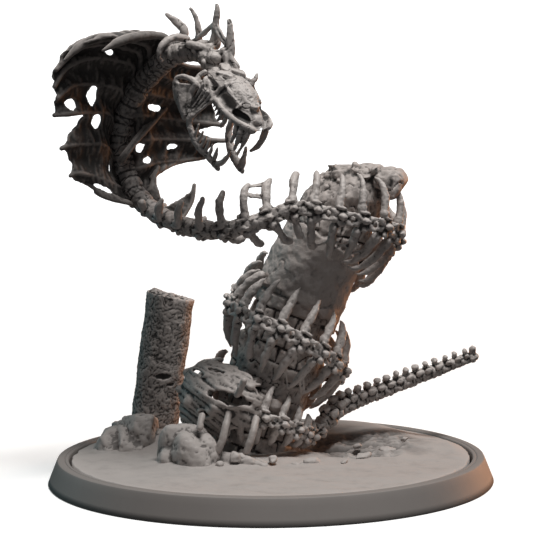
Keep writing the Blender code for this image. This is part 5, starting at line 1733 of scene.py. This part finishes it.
# Fangs: places, radii
FANG = (
    [(10.4, 2.1, -2.2), (10.75, 2.05, -3.2), (10.7, 1.95, -4.4), (10.1, 1.85, -5.6)],
    (0.6, 0.5, 0.38, 0.2),
)
JAW_FANG = (
    [(8.9, 2.2, -8.6), (9.7, 2.2, -7.7), (10.0, 2.2, -6.7), (9.9, 2.2, -5.7)],
    (0.42, 0.42, 0.34, 0.14),
)
# The halves of the jaw, as forward, out and up, and their radii
NEAR_JAW = [
    (2.7, 3.8, -5.5), (3.1, 3.8, -6.3), (4.5, 3.6, -7.35), (6.0, 3.2, -8.1), (7.7, 2.7, -8.35),
    (9.4, 2.1, -8.9),
]
FAR_JAW = [
    (2.7, 3.8, -5.6), (3.6, 3.4, -7.4), (4.7, 3.3, -8.4), (6.4, 2.9, -9.05), (8.3, 2.5, -9.15),
    (9.6, 2.2, -9.2),
]
NEAR_JAW_RADII = (0.5, 0.52, 0.52, 0.48, 0.46, 0.42)
FAR_JAW_RADII = (0.5, 0.58, 0.66, 0.66, 0.62, 0.5)
# Teeth of the jaw: root and tip (forward, out, up), radius
JAW_TEETH = [
    ((4.7, 3.55, -7.2), (4.5, 3.6, -5.4), 0.24),
    ((5.4, 3.35, -7.6), (5.5, 3.4, -5.9), 0.26),
    ((6.1, 3.15, -7.9), (6.2, 3.3, -6.1), 0.27),
    ((6.9, 2.95, -8.0), (6.8, 3.1, -6.1), 0.27),
    ((7.6, 2.75, -8.2), (7.5, 2.9, -6.6), 0.28),
    ((8.4, 2.45, -8.4), (8.3, 2.7, -6.4), 0.32),
]
FAR_JAW_TOOTH = ((9.2, 2.2, -8.9), (8.4, 2.2, -6.4), 0.42)


def head_place(points):
    """From the head's own axes to the frame's."""
    forward = unit(HEAD_FORWARD)
    left = unit(HEAD_LEFT)
    return np.array(HEAD_ORIGIN) + points @ np.stack([forward, left, np.cross(forward, left)])


def taper(clay, points, radii, up=(0.0, 0.0, 1.0), flat=1.0, around=14):
    """A smooth bar through a few points, with radii spread evenly along it."""
    path = smooth_curve(points, 8)
    spread = np.interp(np.linspace(0, 1, len(path)), np.linspace(0, 1, len(radii)), radii)
    clay.bar(path, spread, up=up, flat=flat, around=around)


def tooth(clay, root, tip, radius, mirror):
    """A tooth: a blunt peg with a slight bend."""
    middle = (np.array(root) + tip) / 2 + (0.1, 0, 0)
    taper(clay, np.array([root, middle, tip]) * mirror, (radius, radius * 0.95, radius * 0.6), up=(0, 1, 0))


def skull_body():
    """The skull's solid body: through each section run the roof, the brow, a hollow side wall, the cheek and
    the floor, mirrored, and smooth curves join the sections from the neck to the snout."""
    table = smooth_curve(SKULL_SECTIONS, 6)
    forward, roof, brow, brow_up, cheek, cheek_up, floor = (table[:, k : k + 1] for k in range(7))
    wall = brow + (cheek - brow) * 0.25
    shoulder = roof - (roof - brow_up) * 0.25
    out = np.hstack([0 * roof, brow * 0.6, brow, wall, cheek, cheek - 0.05, cheek * 0.75])
    up = np.hstack([roof, shoulder, brow_up, (brow_up + cheek_up) / 2, cheek_up, floor + 0.1, floor])
    out = np.hstack([out, 0 * roof, -out[:, :0:-1]])
    up = np.hstack([up, floor + 0.3, up[:, :0:-1]])
    corners = xyz(forward, out, up)
    step = np.linspace(0, 1, 6, endpoint=False)[None, None, :, None]
    rows = corners[:, :, None] * (1 - step) + np.roll(corners, -1, axis=1)[:, :, None] * step
    return rows.reshape(len(table), -1, 3)


def leaning(points):
    """The skull leans over to its right, and its far side is foreshortened, as the sculptor made it."""
    out, up = points[:, 1], points[:, 2]
    lift = HEAD_LEAN * np.clip(out + LEAN_START, 0, None) * ease(-4.5, -2.0, up)
    return np.stack([points[:, 0], np.where(out > 0, out * HEAD_TURN, out), up + lift], axis=1)


def dent_axes(side, yaw, roll):
    """The axes of a hollow turned by slopes: forward to the side, and out to the top."""
    first = unit((1.0, yaw * side, 0.0))
    second = unit(np.array((-yaw * side, 1.0, roll * side)))
    return np.stack([first, second, unit(np.cross(first, second))])


def dent_ball(dent, side):
    """One of the skull's hollows on one side: its centre, half sizes and axes."""
    centre, sizes, (yaw, roll) = dent
    return np.array(centre) * (1, side, 1), np.array(sizes), dent_axes(side, yaw, roll)


def make_skull():
    """The skull: a solid body with sockets, a dome, arches, a blade, plates, tendons, a horn and teeth."""
    clay = Clay()
    clay.add(skull_body())
    for side in (1, -1):
        mirror = np.array((1, side, 1))
        for points, radii, flat in SIDE_BARS:
            taper(clay, np.array(points) * mirror, radii, up=(0, 1, 0), flat=flat)
        plates = [(np.array(centre) * mirror, sizes) for centre, sizes in SIDE_ROCKS]
        clay.rocks(plates, 300, planes=8, around=24, up=13)
        outer, inner = (even_path(np.array(SIDE_BARS[row][0]) * mirror, 24) for row in PLATE_EDGES)
        spread = np.linspace(0, 1, 12)[None, :, None]
        ridge = np.array((0, side * 0.5, 0)) * np.sin(spread * math.pi)
        clay.plate(outer[:, None] + (inner - outer)[:, None] * spread + ridge, 0.4)
        upper, lower = (even_path(np.array(edge) * mirror, 24) for edge in FIN_EDGES)
        clay.plate(upper[:, None] + (lower - upper)[:, None] * spread, 0.34)
        for start, end in TENDONS:
            add_strand(clay, np.array(start) * mirror, np.array(end) * mirror, 0.19, 0.0)
        shown = FAR_TEETH if side > 0 else len(UPPER_TEETH)
        for root, tip, radius in UPPER_TEETH[:shown]:
            tooth(clay, root, tip, radius, mirror)
    clay.rocks(SNOUT_ROCKS, 320, planes=8, around=28, up=15)
    taper(clay, FANG[0], FANG[1], up=(0, 1, 0))
    taper(clay, HORN[0], HORN[1], up=(1, 0, 0))
    skin = clay.joined(sculpt().head_cell).smooth(2)
    for side in (1, -1):
        for dent in SKULL_DENTS:
            skin.dent(*dent_ball(dent, side))
    skin.dent(np.array(SNOUT_DENT[0]), np.array(SNOUT_DENT[1]))
    skin.smooth(2)
    # Painted light and shade in the skull's hollows: the first is painted lighter, as a lit bowl, and the next
    # two darker, as deep openings in shade
    sockets = np.zeros(len(skin.points))
    for side in (1, -1):
        for dent, shade in zip(SKULL_DENTS, DENT_PAINTED_LIGHT_AND_SHADE):
            centre, sizes, axes = dent_ball(dent, side)
            turned = (skin.points - centre) @ axes.T / sizes
            sockets += shade * ease(1.12, 1.0, np.linalg.norm(turned, axis=1))
    skin.points = leaning(skin.points)
    dome = ease(-0.2, 0.4, skin.points[:, 2]) * ease(3.6, 4.6, skin.points[:, 0])
    cracks = creased(skin.points, 1.9, 0.04, 164) * 0.08
    worn = flaked(skin.points, 1.3, 3, 163) * (0.07 + 0.06 * dome) - cracks
    pits = ease(0.35, 0.75, rough(skin.points, 0.5, 2, 165)) * (0.04 + 0.02 * dome)
    skin.push(rough(skin.points, 0.9, 3, 162) * (0.04 + 0.03 * dome) + worn - pits)
    forward, out, up = skin.points.T
    # Painted shade over the tendons between the cheek and the jaw's joint
    dried = ease(2.4, 2.8, np.abs(out)) * ease(1.0, 1.6, forward) * ease(4.0, 3.2, forward)
    dried = dried * ease(-6.0, -5.4, up) * ease(-2.2, -2.6, up)
    skin.darken(0.5 * dried + sockets - 0.15)
    return show("skull_bone", skin, "bone", ["skull"], head_place)


def make_jaw(name, route, side, node, seed):
    """One half of the lower jaw: a bent bar with teeth that stand on it, and a fang near its tip."""
    clay = Clay()
    mirror = np.array((1, side, 1))
    path = smooth_curve(np.array(route) * mirror, 10)
    sizes = FAR_JAW_RADII if side > 0 else NEAR_JAW_RADII
    radii = np.interp(np.linspace(0, 1, len(path)), np.linspace(0, 1, len(sizes)), sizes)
    clay.bar(path, radii * (1 + noise(path, 0.9, seed + 3) * 0.1), up=(0, 1, 0), flat=0.7)
    every = FAR_JAW_TEETH if side > 0 else 1
    for root, tip, radius in JAW_TEETH[::every]:
        drop = np.array((0, 0, key_value(route, 2, root[0]) + 0.2 - root[2]))
        tooth(clay, np.array(root) + drop, np.array(tip) + drop, radius, mirror)
    if side < 0:
        taper(clay, np.array(JAW_FANG[0]) * mirror, JAW_FANG[1], up=(0, 1, 0))
    else:
        tooth(clay, *FAR_JAW_TOOTH, mirror)
    skin = clay.joined(sculpt().head_cell).smooth(3)
    worn = flaked(skin.points, 1.1, 3, seed + 5) * 0.08 - creased(skin.points, 1.5, 0.06, seed + 6) * 0.06
    skin.push(rough(skin.points, 0.8, 3, seed) * 0.05 + worn)
    return show(name, skin, "bone", [node], head_place)


def make_jaws():
    """Both halves of the lower jaw."""
    make_jaw("jaw_left_bone", FAR_JAW, 1, "jaw_left", 191)
    make_jaw("jaw_right_bone", NEAR_JAW, -1, "jaw_right", 192)


# ---- stage ----

# The camera, in millimetres and degrees, as worked out from the base's outline in the picture
CAMERA_PLACE = (-0.347, -225.71, 45.55)
CAMERA_AIM = (-0.347, 0.0, 28.789)
CAMERA_ROLL = -0.479
# The floor, in millimetres: half width, depth by share of the way back, height of the backdrop
FLOOR_HALF_WIDTH = 2400
FLOOR_DEPTHS = ([0, 0.4, 1], [-1500, 300, 1500])
BACKDROP_HEIGHT = 900
# The lights: name, place, aim and size in mm, which setting gives the power, share of it, colour
MIDDLE = (0, 0, 30)
LIGHTS = [
    ("key", (80, -95, 430), MIDDLE, 150, "key_power", 1.0, (1.0, 0.985, 0.96)),
    ("fill", (-60, -420, 150), MIDDLE, 260, "fill_power", 1.0, (0.95, 0.97, 1.0)),
    ("side_warm", (240, 210, 40), MIDDLE, 110, "side_power", 1.3, (1.0, 0.42, 0.16)),
    ("side_cool", (-300, 120, 90), MIDDLE, 110, "side_power", 0.25, (0.4, 0.85, 0.95)),
    ("backdrop", (0, 500, 700), (0, 1300, 200), 900, "backdrop_power", 1.0, (1.0, 1.0, 1.0)),
]


def make_floor():
    """A wide pale floor that curves up behind the miniature."""
    x = np.linspace(-FLOOR_HALF_WIDTH, FLOOR_HALF_WIDTH, 41)
    s = np.linspace(0, 1, 60)
    y = np.interp(s, *FLOOR_DEPTHS)
    z = BACKDROP_HEIGHT * ease(0.3, 1.0, s) ** 2
    grid = xyz(x[:, None], y[None], z[None]) * MM
    faces = cell_faces(np.arange(x.size * s.size).reshape(x.size, s.size)).reshape(-1, 4)
    data = mesh_of("floor", grid.reshape(-1, 3), faces)
    finish = Finish("pale_floor")
    tint = finish.ramp(finish.speckle(60.0), [(0.3, (0.8, 0.8, 0.8)), (0.7, (0.84, 0.84, 0.84))])
    glow = {"Emission_Color": (0.96, 0.96, 0.96, 1.0), "Emission_Strength": 0.35}
    data.materials.append(finish.shade(Base_Color=tint, Roughness=0.9, **glow))
    obj = linked("floor", data)
    # The floor throws no light back, as in a picture cut out of its background
    obj.visible_diffuse = False
    obj.visible_glossy = False


def add_light(name, place, aim, size, power, colour):
    """A soft square light, in millimetres, aimed at a point."""
    data = bpy.data.lights.new(name, "AREA")
    data.size = size * MM
    data.energy = power
    data.color = colour
    obj = linked(name, data)
    obj.location = Vector(place) * MM
    obj.rotation_euler = (Vector(aim) - Vector(place)).to_track_quat("-Z", "Y").to_euler()


def add_camera(lens):
    """The camera, turned to its aim and then rolled a little."""
    data = bpy.data.cameras.new("camera")
    data.lens = lens
    data.sensor_width = 36.0
    data.clip_start = 0.01
    data.clip_end = 20.0
    obj = linked("camera", data)
    place, target = Vector(CAMERA_PLACE) * MM, Vector(CAMERA_AIM) * MM
    roll = Matrix.Rotation(math.radians(CAMERA_ROLL), 3, "Z")
    turn = (target - place).to_track_quat("-Z", "Y").to_matrix() @ roll
    obj.location = place
    obj.rotation_euler = turn.to_euler()
    bpy.context.scene.camera = obj


def make_stage():
    """The floor, the pale surround, the lights and the camera."""
    settings = bpy.context.scene.miniature_stage
    make_floor()
    world = bpy.data.worlds.new("pale_surround")
    bpy.context.scene.world = world
    world.use_nodes = True
    backdrop = world.node_tree.nodes["Background"]
    backdrop.inputs["Color"].default_value = (0.95, 0.97, 1.0, 1.0)
    backdrop.inputs["Strength"].default_value = settings.surround
    for name, place, aim, size, power, share, colour in LIGHTS:
        add_light(name, place, aim, size, getattr(settings, power) * share, colour)
    add_camera(settings.lens)
    bpy.context.scene.view_settings.view_transform = "Standard"


# ---- operators and panel ----


class MINIATURE_OT_base(bpy.types.Operator):
    """Make the moulded rim, the ground let into it and the stones on it"""

    bl_idname = "miniature.base"
    bl_label = "Base and Ground"

    def execute(self, context):
        make_base_rim()
        make_ground()
        make_rubble()
        return {"FINISHED"}


class MINIATURE_OT_columns(bpy.types.Operator):
    """Make the leaning column and the stump beside it"""

    bl_idname = "miniature.columns"
    bl_label = "Columns"

    def execute(self, context):
        make_main_column()
        make_stump_column()
        return {"FINISHED"}


class MINIATURE_OT_coils(bpy.types.Operator):
    """Make the tail and the coil of vertebrae and ribs"""

    bl_idname = "miniature.coils"
    bl_label = "Tail and Coil"

    def execute(self, context):
        make_tail()
        make_coils()
        return {"FINISHED"}


class MINIATURE_OT_neck(bpy.types.Operator):
    """Make the free neck and the ringed neck inside the hood"""

    bl_idname = "miniature.neck"
    bl_label = "Neck"

    def execute(self, context):
        make_neck()
        make_hood_spines()
        return {"FINISHED"}


class MINIATURE_OT_hood(bpy.types.Operator):
    """Make the two torn halves of the hood and the dried skin on the lowest turn"""

    bl_idname = "miniature.hood"
    bl_label = "Hood and Skin"

    def execute(self, context):
        make_hood()
        make_skin_patch()
        return {"FINISHED"}


class MINIATURE_OT_head(bpy.types.Operator):
    """Make the skull and the two halves of the lower jaw"""

    bl_idname = "miniature.head"
    bl_label = "Head"

    def execute(self, context):
        make_skull()
        make_jaws()
        return {"FINISHED"}


class MINIATURE_OT_stage(bpy.types.Operator):
    """Make the pale floor, the soft lights and the camera"""

    bl_idname = "miniature.stage"
    bl_label = "Stage"

    def execute(self, context):
        make_stage()
        return {"FINISHED"}


OPERATORS = (
    MINIATURE_OT_base,
    MINIATURE_OT_columns,
    MINIATURE_OT_coils,
    MINIATURE_OT_neck,
    MINIATURE_OT_hood,
    MINIATURE_OT_head,
    MINIATURE_OT_stage,
)


SETTINGS = {
    "miniature_finishes": MiniatureFinishes,
    "miniature_sculpt": MiniatureSculpt,
    "miniature_stage": MiniatureStage,
}


class MINIATURE_PT_panel(bpy.types.Panel):
    """The miniature's settings and the pieces to make"""

    bl_idname = "MINIATURE_PT_panel"
    bl_label = "Skeleton Miniature"
    bl_space_type = "VIEW_3D"
    bl_region_type = "UI"
    bl_category = "Miniature"

    def draw(self, context):
        column = self.layout.column(align=True)
        for name in SETTINGS:
            group = getattr(context.scene, name)
            for setting in group.__annotations__:
                column.prop(group, setting)
        for operator in OPERATORS:
            column.operator(operator.bl_idname)


def register():
    for group in SETTINGS.values():
        bpy.utils.register_class(group)
    for cls in (*OPERATORS, MINIATURE_PT_panel):
        bpy.utils.register_class(cls)
    for name, group in SETTINGS.items():
        setattr(bpy.types.Scene, name, bpy.props.PointerProperty(type=group))


def unregister():
    for name in SETTINGS:
        delattr(bpy.types.Scene, name)
    for cls in (MINIATURE_PT_panel, *reversed(OPERATORS), *reversed(list(SETTINGS.values()))):
        bpy.utils.unregister_class(cls)


def main():
    """Registers the add-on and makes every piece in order."""
    register()
    bpy.ops.miniature.stage()
    bpy.ops.miniature.base()
    bpy.ops.miniature.columns()
    bpy.ops.miniature.coils()
    bpy.ops.miniature.neck()
    bpy.ops.miniature.hood()
    bpy.ops.miniature.head()


if __name__ == "__main__":
    main()
